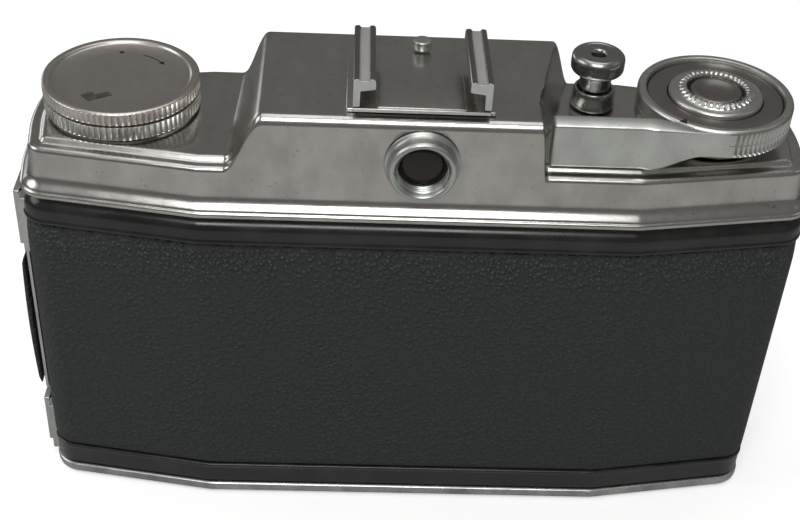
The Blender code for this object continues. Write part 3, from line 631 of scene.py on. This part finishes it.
def make_top_cover():
    shape = bmesh.new()
    skins = []
    for wall, rim, shrink, rows in ((FLANGE, WING_RIM, 0.0, 28), (INNER_WALL, INNER_RIM, SHEET, 6)):
        loops = [[(x, y, COVER_LOW + z) for x, y in plan(inset, STATIONS)] for inset, z in wall]
        loops += cover_rings(rim, shrink)
        rings = [[shape.verts.new(point) for point in loop] for loop in loops]
        join_all(shape, rings)
        add_deck(shape, rings[-1], rows, shrink)
        skins.append(rings)
    join_rings(shape, skins[0][0], skins[1][0])
    cover = finish_piece("plated_top_cover", shape, PLATE, "camera_body", ["top_cover"])
    holes = bmesh.new()
    for (x, y, _), radius in ((REWIND, 3.4), (HUB, 3.4), (RELEASE, 2.7)):
        rod(radius, COVER_LOW, HUMP_TOP, 48, into=holes, at=(x, y, 0.0))
    rod(4.5, 8.0, 20.0, 48, along="Y", into=holes, at=(0.0, 0.0, EYE[2]))
    corner, opposite = low_and_high("finder_bezel")
    block((corner[0] - 0.3, -20.0, corner[2] - 0.3), (opposite[0] + 0.3, -9.0, opposite[2] + 0.3), 0.3,
          into=holes)
    cut(cover, holes)


# ---- door and leathers --------------------------------------------------------------
DOOR_END_Y = low("rear_door")[1]
DOOR_SKIN = [(1.1, 2.6), (0.6, 2.62), (0.34, 2.8), (0.25, 3.2), (0.25, 6.1), (0.2, 6.3), (0.1, 6.45),
             (0.06, 6.7), (0.1, 6.95), (0.3, 7.08), (0.95, 7.15), (0.95, 56.05), (0.3, 56.12),
             (0.06, 56.2), (0.0, 56.42), (0.06, 56.66), (0.2, 56.82), (0.25, 57.05), (0.25, 57.9),
             (0.28, 58.3), (0.37, 58.7), (0.55, 59.06), (0.8, 59.38), (1.07, 59.65), (1.34, 59.87),
             (1.56, 60.08), (1.66, 60.35), (1.68, 60.6)]
LEATHER_SKIN = [(0.75, 7.3), (0.45, 7.36), (0.28, 7.6), (0.16, 8.3), (0.12, 9.6), (0.12, 50.0),
                (0.14, 51.6), (0.2, 53.0), (0.3, 54.3), (0.46, 55.3), (0.62, 55.75), (0.8, 55.85)]


def sheet_piece(skin, inner_inset, end_y):
    """A skin of (inset, height) points round the rear of the plan, with a plain inner face."""
    inner = plan_side(inner_inset, end_y, rear=True)
    loops = []
    for inset, z in skin:
        outer = plan_side(inset, end_y, rear=True)
        loops.append([(x, y, z) for x, y in outer + list(reversed(inner))])
    return loft(loops)


def make_door():
    finish_piece("enamelled_rear_door", sheet_piece(DOOR_SKIN, 1.75, DOOR_END_Y), ENAMEL, "door",
                 ["rear_door"])
    finish_piece("door_covering", sheet_piece(LEATHER_SKIN, 0.85, low("door_leather")[1]), LEATHER,
                 "door", ["door_leather"])


def make_front():
    for name, side in (("left", 1), ("right", -1)):
        node_name = f"front_leather_{name}"
        seam = min(abs(low(node_name)[0]), abs(high(node_name)[0]))
        end_y = high(node_name)[1]
        loops = []
        bottom, top = levels(node_name)
        for inset, z in ((0.75, bottom), (0.45, bottom + 0.05), (0.3, bottom + 0.3),
                         (0.3, top - 0.3), (0.45, top - 0.05), (0.75, top)):
            outer = [p for p in plan_side(inset, end_y, rear=False) if side * p[0] > seam + 0.6]
            inner = [p for p in plan_side(0.9, end_y, rear=False) if side * p[0] > seam + 0.6]
            ends = [(side * seam, inset - HALF_DEPTH), (side * seam, 0.9 - HALF_DEPTH)]
            if side > 0:
                outline = outer + ends + list(reversed(inner))
            else:
                outline = [ends[0]] + outer + list(reversed(inner)) + [ends[1]]
            loops.append([(x, y, z) for x, y in outline])
        finish_piece(f"front_covering_{name}", loft(loops), LEATHER, "camera_body",
                     [node_name])
    corner, opposite = low_and_high("front_plate")
    plate = finish_piece("front_facing", block(corner, opposite, 0.6, 4), SATIN, "camera_body",
                         ["front_plate"])
    holes = bmesh.new()
    for x, radius in ((-LENS_X, 8.3), (0.0, 2.3), (LENS_X, 8.3)):
        rod(radius, -22.0, -12.0, 64, along="Y", into=holes, at=(x, 0.0, LENS_Z))
    cut(plate, holes)
    for x in (-30.0, 30.0):
        for z in (corner[2] + 4.0, opposite[2] - 4.0):
            add_screw(f"front_screw_{'l' if x > 0 else 'r'}_{int(z)}", (x, corner[1], z), "Y", -1.0)


def add_screw(name, at, along, outward, radius=1.3):
    """A small countersunk screw head with a slot, nearly flush with its surface."""
    profile = [(0.0, 0.1), (0.4, 0.1), (radius * 0.8, 0.06), (radius, -0.06), (radius * 0.5, -0.5),
               (0.0, -0.5)]
    shape = turned([(r, outward * h) for r, h in profile], 32, along=along)
    piece = finish_piece(name, shape, STEEL, "camera_body", at=at)
    size = (radius * 1.1, 0.16, 0.16)
    slot = bmesh.new()
    bmesh.ops.create_cube(slot, size=2.0)
    bmesh.ops.scale(slot, vec=size, verts=slot.verts)
    turn = Matrix.Rotation(0.6 + 0.2 * at[0], 3, "Z")     # each slot stopped at its own angle
    bmesh.ops.rotate(slot, cent=(0, 0, 0), verts=slot.verts, matrix=turn)
    if along == "Y":
        upright = Matrix.Rotation(math.pi / 2, 3, "X")
        bmesh.ops.rotate(slot, cent=(0, 0, 0), verts=slot.verts, matrix=upright)
    bmesh.ops.translate(slot, vec=[at[k] + (outward * 0.12 if k == "XYZ".index(along) else 0.0)
                                   for k in range(3)], verts=slot.verts)
    cut(piece, slot)


def make_bottom():
    top = high("bottom_plate")[2]
    edge = [(1.6, 0.0), (1.1, 0.04), (0.65, 0.16), (0.3, 0.4), (0.08, 0.75), (0.0, 1.15), (0.0, 1.9),
            (0.05, top - 0.15), (0.25, top), (1.2, top), (1.3, 1.1)]
    plate = finish_piece("plated_bottom", loft([[(x, y, z) for x, y in plan(inset)] for inset, z in edge]),
                         BASE, "camera_body", ["bottom_plate"])
    bush = middle("tripod_bush")
    cut(plate, rod(5.3, -1.0, 3.0, 64, at=(bush[0], bush[1], 0.0)))
    thread = [(3.1 + 0.18 * (k % 2), 0.25 + (top - 0.5) * k / 8) for k in range(9)]
    ring = [(3.3, 0.0), (4.7, 0.0), (4.9, 0.2), (4.9, top), (3.3, top)] + list(reversed(thread))
    finish_piece("threaded_bush", turned(ring, 64, closed=True), STEEL, "camera_body",
                 ["tripod_bush"], at=(bush[0], bush[1], 0.0))
    for x in (-52.0, 52.0):
        add_screw(f"base_screw_{'l' if x > 0 else 'r'}", (x, 0.0, 0.06), "Z", -1.0, radius=1.6)


# ---- viewfinder and accessory shoe --------------------------------------------------
def make_viewfinder():
    barrel_rear = high("eyepiece_barrel")[1]
    barrel_front = low("eyepiece_barrel")[1]
    thread = []
    for k in range(5):
        depth = barrel_rear - 0.9 - 0.42 * k
        thread += [(4.0 - 0.02 * k, depth), (3.78 - 0.02 * k, depth - 0.2)]
    profile = [(3.2, barrel_front), (4.2, barrel_front), (4.2, 15.55), (5.9, 15.55), (5.9, 15.85),
               (5.45, 16.15), (5.28, 16.6), (5.28, barrel_rear - 0.55), (5.0, barrel_rear - 0.1),
               (4.7, barrel_rear), (4.4, barrel_rear - 0.15), (4.15, barrel_rear - 0.6)]
    profile += thread + [(3.3, barrel_rear - 3.0)]
    finish_piece("eyepiece_ring", turned(softened(profile, 0.12, True, 2), 96, True, "Y"), SATIN,
                 "camera_body", ["eyepiece_barrel"], at=(0.0, 0.0, EYE[2]))
    edge = barrel_rear - 2.4
    glass_radius, bulge = 3.6, 0.7
    turns = [math.pi / 2 * k / 8 for k in range(1, 9)]
    glass = [(0.0, 12.0), (2.9, 12.3), (2.9, edge - 0.7), (glass_radius, edge - 0.4), (glass_radius, edge)]
    glass += [(glass_radius * math.cos(turn), edge + bulge * math.sin(turn)) for turn in turns]
    finish_piece("eyepiece_glass_piece", turned(glass, 64, along="Y"), EYE_GLASS, "camera_body",
                 ["eyepiece_lens"], at=(0.0, 0.0, EYE[2]))
    corner, opposite = low_and_high("finder_bezel")
    bezel = finish_piece("finder_frame", block(corner, opposite, 0.45, 4), BRIGHT, "camera_body",
                         ["finder_bezel"])
    opening = bmesh.new()
    block((corner[0] + 1.1, corner[1] - 1.0, corner[2] + 1.0),
          (opposite[0] - 1.1, opposite[1] + 1.0, opposite[2] - 1.0), 0.4, into=opening)
    cut(bezel, opening)


def make_shoe():
    corner, opposite = low_and_high("shoe_spacer")
    finish_piece("embossed_pad", block(corner, opposite, 0.28, 4), PLATE, "camera_body",
                 ["shoe_spacer"])
    corner, opposite = low_and_high("shoe_base")
    floor_top = low("shoe_rail_left")[2] - 0.3
    shape = block(corner, (opposite[0], opposite[1], floor_top), 0.12, 3)
    centre = (corner[0] + opposite[0]) / 2
    block((centre - 6.7, -2.6, floor_top - 0.2), (centre + 6.7, opposite[1] - 0.3, opposite[2]), 0.12, 3,
          into=shape)
    floor = finish_piece("shoe_floor", shape, PLATE, "camera_body", ["shoe_base"])
    give_ends(floor, SAWN)
    for name, side in (("left", 1), ("right", -1)):
        rail = f"shoe_rail_{name}"
        foot, top = levels(rail)
        outer = (high(rail)[0] - low(rail)[0]) / 2
        outline = [(outer, foot), (outer, top - 0.15), (outer - 0.35, top), (outer - 0.8, top),
                   (outer - 1.0, top - 0.35), (outer - 2.3, top - 0.35), (outer - 2.5, top),
                   (outer - 3.1, top), (outer - 3.35, top - 0.25), (outer - 3.4, top - 1.7),
                   (outer - 1.05, top - 2.05), (outer - 1.0, foot)]
        outline = softened([(side * x, z) for x, z in outline], 0.16, True, 3)
        piece = finish_piece(f"shoe_side_{name}", bar(outline, low(rail)[1], high(rail)[1], "Y", 0.08),
                             PLATE, "camera_body", [rail], at=(middle(rail)[0], 0.0, 0.0))
        # The rail tops take the darker copy of the plate, painted shade.
        give_level(piece, SHADED_RAIL_TOP, top - 0.12, top + 0.1)
        # The groove floor takes the lighter copy of the plate, painted highlight.
        give_level(piece, GROOVE_HIGHLIGHT, top - 0.45, top - 0.2)
        give_ends(piece, SAWN)
    pin = middle("shoe_stop_pin")
    foot, top = levels("shoe_stop_pin")
    profile = softened([(0.0, foot), (1.5, foot), (1.5, top), (0.0, top)], 0.3)
    finish_piece("shoe_stop", turned(profile, 48), SATIN, "camera_body", ["shoe_stop_pin"],
                 at=(pin[0], pin[1], 0.0))


# ---- rewind knob --------------------------------------------------------------------
KNURL_TEETH = 80


def knurled_rim(radius, bottom, top, depth=0.34, edge=0.3):
    """Profile points up a knurled edge, with a plain rounded rim over it."""
    foot = 0.1
    return [(radius - foot * 2, bottom, 0.0), (radius - foot * 0.5, bottom + foot * 0.3, depth * 0.5),
            (radius, bottom + foot, depth), (radius, top - edge - 0.15, depth),
            (radius, top - edge, depth * 0.5), (radius - 0.06, top - edge * 0.66, 0.0),
            (radius - 0.24, top - edge * 0.2, 0.0), (radius - 0.55, top, 0.0)]


def make_rewind():
    x, y, _ = REWIND
    at = (x, y, 0.0)
    radius = (high("rewind_knob")[0] - low("rewind_knob")[0]) / 2
    bottom, top = levels("reminder_ring")
    seat = softened([(3.3, bottom - 0.5), (radius - 0.9, bottom - 0.5), (radius - 0.7, bottom - 0.06),
                     (3.3, bottom - 0.06)], 0.08, True)
    finish_piece("knob_seat", turned(seat, 96, True), STEEL, "camera_body", at=at)
    profile = [(1.8, bottom, 0.0)] + knurled_rim(radius, bottom, top, edge=0.12) + [(1.8, top, 0.0)]
    finish_piece("reminder_dial", toothed(profile, KNURL_TEETH, closed=True), STEEL, "reminder_ring",
                 ["reminder_ring"], at=at)
    bottom, top = levels("rewind_knob")
    profile = [(0.0, bottom, 0.0)] + knurled_rim(radius, bottom, top)
    profile += [(radius - 1.15, top, 0.0), (radius - 1.35, top - 0.08, 0.0), (radius - 1.5, top - 0.3, 0.0),
                (radius - 1.75, top - 0.42, 0.0), (radius * 0.55, top - 0.45, 0.0), (0.0, top - 0.47, 0.0)]
    knob = finish_piece("rewind_grip", toothed(profile, KNURL_TEETH), SPUN, "rewind_knob",
                        ["rewind_knob"], at=at)
    notch = [(5.5, 6.2), (3.9, 8.1), (0.5, 6.0), (1.1, 4.7), (3.2, 5.9), (3.9, 4.9)]
    cut(knob, prism([(x + a, y + b) for a, b in notch], top - 1.2, top + 0.2))
    finish_piece("notch_floor", prism(notch, top - 1.19, top - 1.0), DARK_DIAL, "rewind_knob",
                 at=at)
    face = top - 0.46
    marks = bmesh.new()
    mark_radius = 7.6
    curve = [math.radians(-110 - 32 * k / 24) for k in range(25)]
    flat_strip(marks, [(mark_radius * math.cos(a), mark_radius * math.sin(a)) for a in curve], 0.22, face)
    tip = curve[-1]
    flat_triangle(marks, mark_radius * math.cos(tip), mark_radius * math.sin(tip), tip - math.pi / 2,
                  face, 0.6)
    dot_radius = 0.42
    turns = [math.tau * k / 16 for k in range(16)]
    dot = [(1.04 + dot_radius * math.cos(turn), -7.9 + dot_radius * math.sin(turn)) for turn in turns]
    prism(dot, face - INLAY, face + INLAY, marks)
    finish_piece("rewind_marks", marks, INK, "rewind_knob", at=at)


def flat_strip(shape, points, width, level):
    """A thin inlaid line along a path, lying flat."""
    left, right = [], []
    for i, point in enumerate(points):
        ahead = Vector(points[min(i + 1, len(points) - 1)]) - Vector(points[max(i - 1, 0)])
        normal = Vector((-ahead.y, ahead.x)).normalized() * width / 2
        left.append(Vector(point) + normal)
        right.append(Vector(point) - normal)
    outline = left + list(reversed(right))
    low_ring = [shape.verts.new((p.x, p.y, level - INLAY)) for p in outline]
    high_ring = [shape.verts.new((p.x, p.y, level + INLAY)) for p in outline]
    join_rings(shape, low_ring, high_ring)
    count = len(points)
    for ring in (low_ring, high_ring):
        for i in range(count - 1):
            shape.faces.new((ring[i], ring[i + 1], ring[2 * count - 2 - i], ring[2 * count - 1 - i]))


def flat_triangle(shape, x, y, heading, level, size):
    """A small inlaid triangle that points along its heading."""
    outline = [(x + size * math.cos(heading + turn), y + size * math.sin(heading + turn))
               for turn in (0.0, 2.2, -2.2)]
    prism(outline, level - INLAY, level + INLAY, shape)


# ---- wind lever ---------------------------------------------------------------------
def make_wind_lever():
    x, y, _ = HUB
    at = (x, y, 0.0)
    radius = 12.4
    bottom, top = 72.9, 77.7
    bowl_floor = 75.4
    split = (bottom + top) / 2 - 0.1
    half_grip = math.radians(87)

    def window(angle):
        """The teeth cover only the side of the hub that is away from the blade."""
        from_middle = abs((angle % math.tau) - math.pi)
        return min(max((half_grip - from_middle) / 0.03, 0.0), 1.0)

    profile = [(2.4, bottom, 0.0), (radius - 0.6, bottom, 0.0), (radius - 0.2, bottom + 0.08, 0.0),
               (radius, bottom + 0.3, 0.0), (radius, bottom + 0.45, 0.45), (radius, split - 0.16, 0.45),
               (radius, split - 0.1, 0.45), (radius - 0.14, split, 0.3), (radius, split + 0.1, 0.45),
               (radius, split + 0.16, 0.45), (radius, top - 0.75, 0.45), (radius, top - 0.6, 0.0),
               (radius - 0.06, top - 0.35, 0.0), (radius - 0.25, top - 0.1, 0.0), (radius - 0.5, top, 0.0),
               (radius - 1.05, top, 0.0), (radius - 1.3, top - 0.1, 0.0), (radius - 1.5, top - 0.5, 0.0),
               (radius - 1.5, bowl_floor, 0.0), (2.4, bowl_floor, 0.0)]
    finish_piece("lever_hub", toothed(profile, 92, window, closed=True), STEEL, "wind_lever",
                 ["wind_lever"], at=at)
    make_blade(at, radius, bottom, top)

    index = bmesh.new()
    flat_triangle(index, 6.77, 9.42, math.radians(-125.7), top + INLAY, 0.8)
    finish_piece("lever_index", index, INK, "wind_lever", at=at)

    dial_low, dial_high = levels("counter_dial")
    inner, outer = 7.65, 10.72
    profile = [(inner, dial_low), (outer, dial_low), (outer, dial_high), (inner, dial_high)]
    profile = softened(profile, 0.15, True)
    finish_piece("counter_disc", turned(profile, 120, True), DARK_DIAL, "frame_counter",
                 ["counter_dial"], at=at)

    ring_low, ring_high = levels("counter_ring")
    profile = [(4.6, ring_low, 0.0), (7.5, ring_low, 0.0), (7.5, 77.25, 0.0), (7.42, 77.5, 0.0),
               (7.2, 77.66, 0.0), (6.9, 77.72, 0.0), (6.15, 77.76, 0.0), (6.05, 77.8, 0.0),
               (5.95, 77.95, 0.0), (5.9, 78.1, 0.75), (5.7, ring_high - 0.1, 0.8),
               (5.45, ring_high, 0.6), (4.95, ring_high - 0.08, 0.2), (4.7, ring_high - 0.35, 0.0),
               (4.6, 77.8, 0.0)]
    finish_piece("counter_crown", toothed(profile, 36, closed=True), STEEL, "frame_counter",
                 ["counter_ring"], at=at)
    cap_low, cap_high = levels("hub_cap")
    profile = [(0.0, cap_low), (4.1, cap_low), (4.1, 77.8), (3.95, 78.0), (3.6, cap_high), (3.2, 78.0),
               (2.7, 77.75), (1.8, 77.6), (0.0, 77.5)]
    finish_piece("hub_cap_dished", turned(profile, 72), DARK_DIAL, "wind_lever", ["hub_cap"],
                 at=at)
    boss_low, boss_high = levels("hub_boss")
    profile = softened([(3.1, boss_low), (8.5, boss_low), (8.5, boss_high), (3.1, boss_high)], 0.4, True)
    finish_piece("hub_foot", turned(profile, 72, True), PLATE, "camera_body", ["hub_boss"], at=at)


def make_blade(at, radius, bottom, top):
    """The flat thumb blade, which thins out and joins the hub's rim."""
    rear = radius - 0.04
    low_z, high_z = levels("wind_lever")
    tip = high("wind_lever")[0] - at[0]
    fall = 0.5
    root, full = 3.6, 11.8       # where the blade starts to leave the rim, and has its full section
    loops = []
    for k in range(33):
        along = tip * (1 - k / 32)
        part = min(max((along - root) / (full - root), 0.0), 1.0)
        grow = part * part * (3 - 2 * part)
        inner = rear - (0.9 + 2.1 * grow)
        z0 = bottom + 0.25 + (low_z - bottom - 0.25) * grow
        z1 = top - 0.3 + (high_z - top + 0.3) * grow
        reach = math.sqrt(max(radius ** 2 - along ** 2, 0.0)) + 12.0 * min(along / 9.0, 1.0)
        outer = min(rear, reach)
        outline = [(inner, z0), (outer, z0), (outer, z1 - fall * grow), (inner, z1)]
        loops.append([(along, a, b) for a, b in softened(outline, 0.12 + 0.3 * grow, True, 3)])
    first = loops[0]
    centre = (sum(p[1] for p in first) / len(first), sum(p[2] for p in first) / len(first))
    cap = [(tip, centre[0] + (a - centre[0]) * 0.86, centre[1] + (b - centre[1]) * 0.95)
           for _, a, b in first]
    loops[0] = [(tip - 0.25, a, b) for _, a, b in first]
    finish_piece("lever_blade", loft([cap] + loops), BLADE, "wind_lever", at=at)


# ---- release ------------------------------------------------------------------------
def make_release():
    x, y, _ = RELEASE
    at = (x, y, 0.0)
    base, floor, rim = low("release_collar")[2], 70.9, high("release_collar")[2]
    profile = [(1.6, base), (2.4, base), (2.4, 70.2), (3.7, 70.2), (3.7, 70.6), (3.62, 70.8),
               (3.55, 71.2), (3.5, 72.6), (3.45, 72.9), (3.3, rim), (2.85, rim), (2.85, floor),
               (1.6, floor)]
    finish_piece("release_socket", turned(softened(profile, 0.14, True, 3), 72, True), DARK_CHROME,
                 "camera_body", ["release_collar"], at=at)
    bottom, top = levels("release_button")
    head = top - 3.6
    profile = [(0.0, bottom), (1.3, bottom), (1.3, head), (2.05, head), (2.05, 73.4), (2.6, 73.4),
               (2.6, 75.6), (2.9, 75.75), (3.6, 76.2), (4.1, 76.55), (4.33, 76.9), (4.38, 77.3),
               (4.38, 78.7), (4.3, 79.1), (4.0, 79.45), (3.6, top), (3.3, top), (3.0, 79.58),
               (1.6, 79.5), (1.35, 79.42), (1.15, 79.1), (1.0, 76.9), (0.0, 76.9)]
    finish_piece("release_mushroom", turned(softened(profile, 0.22, False, 3), 72), DARK_CHROME,
                 "release_button", ["release_button"], at=at)
    low_z, high_z = levels("release_spring")
    steps = 28
    count = 4 * steps            # four turns
    wire = 0.14
    coil = 1.7
    section = [(coil + wire * math.cos(math.tau * k / 8), wire * math.sin(math.tau * k / 8))
               for k in range(8)]
    loops = []
    for i in range(count + 1):
        angle = math.tau * i / steps
        height = low_z + wire + (high_z - low_z - 2 * wire) * i / count
        loops.append([(r * math.cos(angle), r * math.sin(angle), height + rise) for r, rise in section])
    spring = finish_piece("release_coil", loft(loops), STEEL, "camera_body", ["release_spring"],
                          at=at)
    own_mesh(spring)


# ---- latch and hinge ----------------------------------------------------------------
def make_latch():
    for name in ("latch_guide_upper", "latch_guide_lower"):
        corner, opposite = low_and_high(name)
        inner, outer = corner[0], opposite[0]
        outline = [(inner, corner[1]), (outer, corner[1]), (outer, opposite[1]), (inner, opposite[1]),
                   (inner, 3.2), (inner + 0.65, 3.2), (inner + 0.65, -3.2), (inner, -3.2)]
        outline = softened(outline, 0.18, True, 3)
        finish_piece(f"{name}_plate", bar(outline, corner[2], opposite[2], "Z", 0.2), SATIN,
                     "camera_body", [name])
        keeper = block((61.6, 9.6, corner[2]), (inner - 0.15, opposite[1] - 0.35, opposite[2]), 0.2)
        finish_piece(f"{name}_keeper", keeper, SATIN, "door")
    corner, opposite = low_and_high("latch_grip")
    centre = (corner[2] + opposite[2]) / 2
    half = (opposite[2] - corner[2]) / 2
    loops = []
    steps = 24
    for i in range(steps + 1):
        share = -1 + 2 * i / steps
        z = centre + half * share
        end = max(abs(share) - 0.94, 0.0) / 0.06
        face = opposite[0] - 0.4 * share * share - 0.3 * end * end
        outline = [(corner[0], corner[1]), (face, corner[1]), (face, opposite[1]), (corner[0], opposite[1])]
        loops.append([(a, b, z) for a, b in softened(outline, 0.35, True, 3)])
    finish_piece("latch_covering", loft(loops), LEATHER, "latch", ["latch_grip"])


def make_hinge():
    for name, body in (("hinge_knuckle_lower", "camera_body"), ("hinge_knuckle_door", "door"),
                       ("hinge_knuckle_upper", "camera_body")):
        bottom, top = levels(name)
        profile = softened([(0.7, bottom), (1.15, bottom), (1.15, top), (0.7, top)], 0.15, True)
        shape = turned(profile, 40, True)
        lug = 1 if body == "door" else -1
        ends = sorted((lug * 0.75, lug * 4.0))
        block((0.55, ends[0], bottom + 0.01), (1.05, ends[1], top - 0.01), 0.12, into=shape)
        finish_piece(f"{name}_barrel", shape, SATIN, body, [name],
                     at=(HINGE[0], HINGE[1], 0.0))


# ---- lenses -------------------------------------------------------------------------
def make_lenses():
    for name, side in (("left", 1), ("right", -1)):
        at = (side * LENS_X, 0.0, LENS_Z)
        front = low(f"lens_barrel_{name}")[1]
        barrel = [(8.0, -12.3), (8.0, -24.2), (9.6, -24.2), (9.8, -24.5), (9.8, -25.7), (9.5, -26.1),
                  (9.1, front), (7.9, front), (7.6, -26.0)]
        for k in range(5):
            barrel += [(7.5 - 0.24 * k, -25.8 + 0.26 * k), (7.28 - 0.24 * k, -25.8 + 0.26 * k)]
        barrel += [(6.2, -24.3), (6.2, -12.3)]
        finish_piece(f"lens_mount_{name}", turned(softened(barrel, 0.1, True, 2), 120, True, "Y"), BRIGHT,
                     "camera_body", [f"lens_barrel_{name}"], at=at)
        node_name = f"focus_ring_{name}"
        near, far = low(node_name)[1], high(node_name)[1]
        profile = [(8.3, near, 0.0)] + knurled_rim(10.8, near, far, 0.38) + [(8.3, far, 0.0)]
        finish_piece(f"focus_grip_{name}", toothed(profile, 64, closed=True, along="Y"), STEEL,
                     f"focus_ring_{name}", [node_name], at=at)
        glass_radius, rim_y, back_y = 6.0, -23.4, -21.8
        turns = [math.pi / 2 * k / 12 for k in range(1, 13)]
        glass = [(0.0, -24.45)]
        glass += [(glass_radius * math.sin(turn), rim_y - math.cos(turn)) for turn in turns]
        glass += [(glass_radius, back_y), (0.0, back_y)]
        finish_piece(f"front_glass_{name}", turned(glass, 96, along="Y"), LENS_GLASS, "camera_body",
                     [f"front_element_{name}"], at=at)
    near, far = low("aperture_dial")[1], high("aperture_dial")[1]
    profile = [(0.0, near + 0.4, 0.0), (6.0, near + 0.4, 0.0), (6.3, near + 0.32, 0.0),
               (6.6, near + 0.08, 0.0), (6.9, near, 0.0)]
    profile += knurled_rim(9.4, near, far, 0.3) + [(0.0, far, 0.0)]
    finish_piece("aperture_grip", toothed(profile, 60, along="Y"), STEEL, "aperture_dial",
                 ["aperture_dial"], at=(0.0, 0.0, LENS_Z))


# ---- finishes of the frame's own pieces ---------------------------------------------
KEPT = {
    CASTING: ["body_casting", "film_gate", "finder_tube", "pressure_plate", "shutter_blade_left",
              "shutter_blade_right", "aperture_ring_left", "aperture_ring_right"],
    STEEL: ["mechanism_plate", "hinge_pin", "pressure_spring", "latch_slider", "wind_shaft",
            "rewind_bush", "rewind_shaft"],
    PLASTIC: ["take_up_spool"],
    LENS_GLASS: ["rear_element_left", "rear_element_right"],
    EYE_GLASS: ["finder_window"],
}


def finish_kept():
    for material, names in KEPT.items():
        for name in names:
            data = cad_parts[name].data
            data.materials.clear()
            data.materials.append(material)


# ---- floor, light and camera --------------------------------------------------------
def make_floor():
    material, tree, shader = new_material("pale_floor", (0.82, 0.82, 0.82), 0.9)
    output = [n for n in tree.nodes if n.type == "OUTPUT_MATERIAL"][0]
    glow = node(tree, "ShaderNodeEmission", Color=(1.0, 1.0, 1.0, 1.0), Strength=0.5)
    both = tree.nodes.new("ShaderNodeAddShader")
    tree.links.new(shader.outputs[0], both.inputs[0])
    tree.links.new(glow.outputs[0], both.inputs[1])
    # For every ray but the camera's, the floor is a plain diffuse, 0.56 at +Y darkening to 0.18 towards -Y:
    # painted shade in what the body reflects and in the light the floor bounces.
    point = node(tree, "ShaderNodeTexCoord").outputs["Object"]
    across = node(tree, "ShaderNodeSeparateXYZ", Vector=point).outputs["Y"]
    share = spread(tree, across, -0.10, 0.03, 0.0, 1.0)
    painted_shade_floor = node(tree, "ShaderNodeBsdfDiffuse",
                  Color=blend_colours(tree, share, (0.18, 0.18, 0.18), (0.56, 0.56, 0.55)))
    seen = node(tree, "ShaderNodeLightPath").outputs["Is Camera Ray"]
    mix = tree.nodes.new("ShaderNodeMixShader")
    tree.links.new(seen, mix.inputs[0])
    tree.links.new(painted_shade_floor.outputs[0], mix.inputs[1])
    tree.links.new(both.outputs[0], mix.inputs[2])
    tree.links.new(mix.outputs[0], output.inputs["Surface"])
    shape = bmesh.new()
    bmesh.ops.create_grid(shape, x_segments=1, y_segments=1, size=4.0)
    mesh = bpy.data.meshes.new("floor")
    shape.to_mesh(mesh)
    shape.free()
    mesh.materials.append(material)
    floor = bpy.data.objects.new("floor", mesh)
    floor.location.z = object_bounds()[0].z - 0.0002
    bpy.context.scene.collection.objects.link(floor)


AIM_HEIGHT = 0.05            # the lights aim at this height, in metres


def add_light(name, azimuth, elevation, distance, size, radiance):
    """A rectangular soft box that faces the camera body; azimuth 0 is the +Y side."""
    data = bpy.data.lights.new(name, "AREA")
    data.shape = "RECTANGLE"
    data.size, data.size_y = size
    data.energy = math.pi * size[0] * size[1] * radiance
    light = bpy.data.objects.new(name, data)
    a, e = math.radians(azimuth), math.radians(elevation)
    towards = Vector((math.sin(a) * math.cos(e), math.cos(a) * math.cos(e), math.sin(e)))
    light.location = towards * distance + Vector((0.0, 0.0, AIM_HEIGHT))
    light.rotation_mode = "QUATERNION"
    light.rotation_quaternion = towards.to_track_quat("Z", "Y")
    bpy.context.scene.collection.objects.link(light)


def make_lights():
    world = bpy.data.worlds.new("studio")
    bpy.context.scene.world = world
    world.use_nodes = True
    background = world.node_tree.nodes["Background"]
    background.inputs["Color"].default_value = (1.0, 0.98, 0.95, 1.0)
    background.inputs["Strength"].default_value = 0.16
    add_light("key", 8.0, 60.0, 1.0, (0.50, 0.42), 6.5)
    add_light("overhead", 180.0, 78.0, 1.1, (0.9, 0.7), 1.2)
    add_light("left", 90.0, 35.0, 1.0, (0.5, 0.5), 2.2)
    add_light("right", -95.0, 40.0, 1.1, (0.4, 0.4), 0.3)
    add_light("far_left", 137.0, 5.0, 1.0, (0.34, 0.28), 1.5)


def make_camera():
    data = bpy.data.cameras.new("camera")
    data.sensor_width = 36.0
    data.lens = 61.28
    data.clip_start = 0.01
    camera = bpy.data.objects.new("camera", data)
    camera.location = (0.01133, 0.18989, 0.18511)
    heading, tilt, roll = math.radians(182.87), math.radians(-37.15), math.radians(3.32)
    ahead = Vector((math.sin(heading) * math.cos(tilt), math.cos(heading) * math.cos(tilt), math.sin(tilt)))
    camera.rotation_mode = "QUATERNION"
    camera.rotation_quaternion = ahead.to_track_quat("-Z", "Y") @ Quaternion((0.0, 0.0, 1.0), roll)
    bpy.context.scene.collection.objects.link(camera)
    bpy.context.scene.camera = camera
    bpy.context.scene.view_settings.view_transform = "Standard"


make_camera()
make_top_cover()
make_door()
make_front()
make_bottom()
make_viewfinder()
make_shoe()
make_rewind()
make_wind_lever()
make_release()
make_latch()
make_hinge()
make_lenses()
finish_kept()
make_floor()
make_lights()
